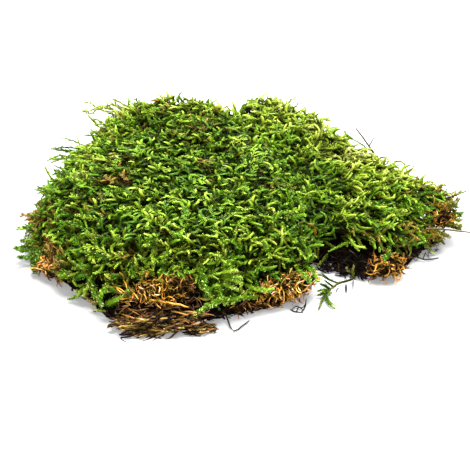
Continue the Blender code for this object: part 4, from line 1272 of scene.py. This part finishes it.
# %% Torn strands
# Strips of bark and dead stem hang from the torn edge, mostly along it: over the flakes, down the left
# edge, and under the middle tuft and the right lobe. Each row: how many, where it starts and ends, its
# lowest and highest place, the thinnest and the thickest, the longest, how steeply they may fall and rise,
# and their tones
STRAND_ROWS = [
    (150, (-82, -127), (-26, -127), (5, 16), (0.2, 0.6), 12,
     (-0.6, 0.9), [0.05, 0.1, 0.14, 0.2, 0.24, 0.3, 0.36, 0.42]),
    (70, (-80, -121), (-28, -121), (6, 19), (0.25, 0.6), 10, (-1.1, 0.9), [0.05, 0.1, 0.16, 0.2, 0.28, 0.4]),
    (70, (-138, -56), (-132, -68), (16, 28), (0.25, 0.55), 9, (-1.5, -0.6), [0.28, 0.34, 0.4, 0.44, 0.7]),
    (80, (-132, -68), (-126, -82), (3, 20), (0.25, 0.55), 9,
     (-1.5, -0.6), [0.2, 0.28, 0.34, 0.4, 0.44, 0.7]),
    # Near black under the right lobe: painted shade in the hollow
    (170, (50, -55), (84, -68), (0.3, 5), (0.4, 0.9), 8, (-0.6, 0.4), [0.0, 0.02, 0.04, 0.08]),
    (40, (-86, -117), (-72, -121), (14, 29), (0.25, 0.5), 9, (-1.2, 0.6), [0.28, 0.34, 0.4, 0.48, 0.56]),
    (80, (-12, -114), (44, -97), (2, 9), (0.25, 0.5), 6, (-1.1, 0.9), [0.2, 0.28, 0.34, 0.4, 0.48, 0.6]),
    (40, (-30, -120), (6, -109), (1, 7), (0.25, 0.5), 7, (-1.1, 0.9), [0.0, 0.05, 0.1, 0.2]),
    # Dark under the right lobe too: partly painted shade in the hollow
    (80, (66, -62), (98, -64), (2, 14), (0.2, 0.45), 9, (-1.1, 0.9), [0.0, 0.03, 0.06, 0.1, 0.14, 0.3]),
    (50, (108, -56), (140, -34), (2, 10), (0.2, 0.4), 7, (-1.1, 0.9), [0.05, 0.1, 0.2, 0.3]),
]
# Pale splinters at the right end of the bark and golden ones above it: start, end, width and tone
PALE_CHIPS = [
    ((-39, -132, 4), (-26, -126, 6), 1.6, 0.9), ((-38, -133, 5), (-34, -134, 1), 1.8, 0.8),
    ((-63, -126, 22), (-50, -127, 20), 1.6, 0.46), ((-52, -126.5, 21), (-37, -126, 16), 1.8, 0.50),
]
STRAND_TAPER = (0.5, 1.0, 0.9, 0.8, 0.35)

strand_shape = ShapeOfTriangles()
rng = random.Random(61)
for count, start, end, (bottom, top), (thin, thick), longest, slope, tones in STRAND_ROWS:
    for _ in range(count):
        x, y = Vector(start).lerp(Vector(end), rng.random())
        place = Vector((x, y + rng.uniform(-4, 4), rng.uniform(bottom, top))) + SHIFT
        swing, rise = rng.uniform(-1.2, 1.2), rng.uniform(*slope)
        ahead = Vector((math.cos(rise) * math.cos(swing), 0.6 * math.sin(swing), math.sin(rise)))
        bend = Vector((rng.uniform(-1.0, 1.0), rng.uniform(-0.6, 0.4), rng.uniform(-1.2, 0.8)))
        length = rng.uniform(0.35, 1.0) * longest
        path = curve_along(place - ahead * length / 2, ahead, bend, length, 4)
        radius = rng.uniform(thin, thick)
        radii = [radius * share for share in STRAND_TAPER]
        add_stem(strand_shape, path, radii, 0.25, 0.75, rng.choice(tones))
for start, end, width, tone in PALE_CHIPS:
    splinter(strand_shape, Vector(start) + SHIFT, Vector(end) + SHIFT, width, 0.8, tone, rng)
place_piece(strand_shape, "torn_strands", dead_brown)


# %% [markdown]
# The stray frond and the loose stems.
# A frond has come away and lies on the table in front of the right lobe. It is a stem with small leaves,
# and its side shoots fan out from both ends. The straw, the two stems and the twig keep their solids, which
# are thin round stems already, and get a finish of fine specks.

# %% Frond
FROND_STEM = [(75, -74, 4), (69, -78, 4.5), (64, -80.5, 4.5), (60.5, -84.5, 4.2), (57, -89, 4)]
# Each side shoot: its path, thickness, leaf length and tone
FROND_SHOOTS = [
    ([(64, -80.5, 4.5), (58, -77.5, 5.5), (53, -74.5, 7), (47, -74.5, 8)], 0.9, 2.0, 0.41),
    ([(57, -76.8, 6), (55, -77, 8), (52.5, -76.5, 10)], 0.7, 1.8, 0.50),
    ([(60.5, -84.5, 4.2), (57, -83.5, 6.5), (54, -83, 9)], 0.9, 2.0, 0.44),
    ([(58, -87, 4), (54, -85, 6), (51, -85, 7)], 1.2, 2.4, 0.44),
    ([(57, -89, 4), (53, -87.5, 4), (49, -88, 3)], 1.2, 2.4, 0.40),
    ([(57, -89, 4), (53, -91, 3.5), (49, -92, 2.5)], 1.2, 2.4, 0.44),
    ([(57, -89, 4), (54, -91, 6), (52, -93, 7)], 1.1, 2.4, 0.58),
    ([(57, -89, 4), (57, -92, 5), (57, -95, 4)], 1.1, 2.4, 0.43),
    ([(57, -89, 4), (53, -95, 3), (51, -101, 2), (49, -108, 1.2)], 0.9, 2.2, 0.40),
    ([(55, -93, 3.5), (55, -98, 3), (57, -103, 2), (60, -107, 1.3)], 0.9, 2.4, 0.46),
    ([(55, -96, 2.6), (58, -101, 2), (62, -105, 1.5)], 0.7, 2.0, 0.70),
    ([(75, -74, 4), (74, -72, 8), (75, -71, 13)], 0.9, 2.2, 0.38),
    ([(74, -72, 7), (71, -72, 9), (70, -72, 12)], 0.7, 1.8, 0.36),
]
frond_shape = ShapeOfTriangles()
rng = random.Random(9)
stem_path = smooth_path(FROND_STEM, 3)
add_leafy(frond_shape, stem_path, 30, 1.5, 1.0, rng, 0.1, 0.38)
for points, thick, leaf, tone in FROND_SHOOTS:
    path = smooth_path(points, 3)
    add_leafy(frond_shape, path, int(path_length(path) * 3.0), leaf * 0.72, thick, rng, 0.3, tone)
place_piece(frond_shape, "leafy_frond", moss_green, "stray_frond")


# %% Stems
# The darker and the lighter colour of each, as screen values
STEM_COLOURS = {
    "straw_right": [(58, 46, 28), (98, 80, 52)], "stem_back": [(22, 20, 12), (52, 46, 28)],
    "rootlet_front": [(18, 16, 12), (46, 40, 30)], "twig_right": [(24, 26, 14), (58, 58, 30)],
}
for node, (dark, light) in STEM_COLOURS.items():
    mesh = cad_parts[node].data
    finish = mottled_material(node + " finish", stops((0.35, *dark), (0.65, *light)), *BARE_STEM)
    if mesh.materials:
        mesh.materials[0] = finish
    else:
        mesh.materials.append(finish)
    print(node, "keeps its solid")


# %% [markdown]
# Debris.
# A few dark crumbs and one thin fibre have dropped on the table in front of the piece. Each is a thin
# closed tube from the function that makes the stems, so that it takes the same finish.

# %% Crumbs on the table
# Each: its path and its thickness
CRUMBS = [
    ([(69.6, -76, 0.6), (69.2, -82, 0.7), (69, -87, 0.5)], 0.75),
    ([(75, -71, 0.5), (74.4, -77, 0.5), (74, -82, 0.4)], 0.4),
    ([(64, -80, 0.4), (62.6, -84, 0.4), (62, -87, 0.3)], 0.3),
    ([(30, -106, 0.6), (33, -109, 0.7), (39, -109.6, 0.5)], 0.6),
    ([(31, -107, 0.8), (34, -104, 1.6), (38, -106.5, 1.8), (41, -102, 3)], 0.5),
    ([(34, -109, 0.5), (36, -105, 1.4), (39, -108, 0.8)], 0.5),
    ([(37, -110, 0.5), (40, -106, 2.2), (41, -100, 5)], 0.5),
    ([(-82, -138, 0.35), (-80, -141, 0.35), (-76, -144, 0.35)], 0.3),
]
crumb_shape = ShapeOfTriangles()
for points, thick in CRUMBS:
    path = smooth_path(points, 3)
    radii = [thick * (0.4 + 0.6 * math.sin(math.pi * k / (len(path) - 1))) for k in range(len(path))]
    add_stem(crumb_shape, path, radii, share_low=0.3, share_high=0.7, tone=0.06, sides=4)
place_piece(crumb_shape, "crumbs", dead_brown)
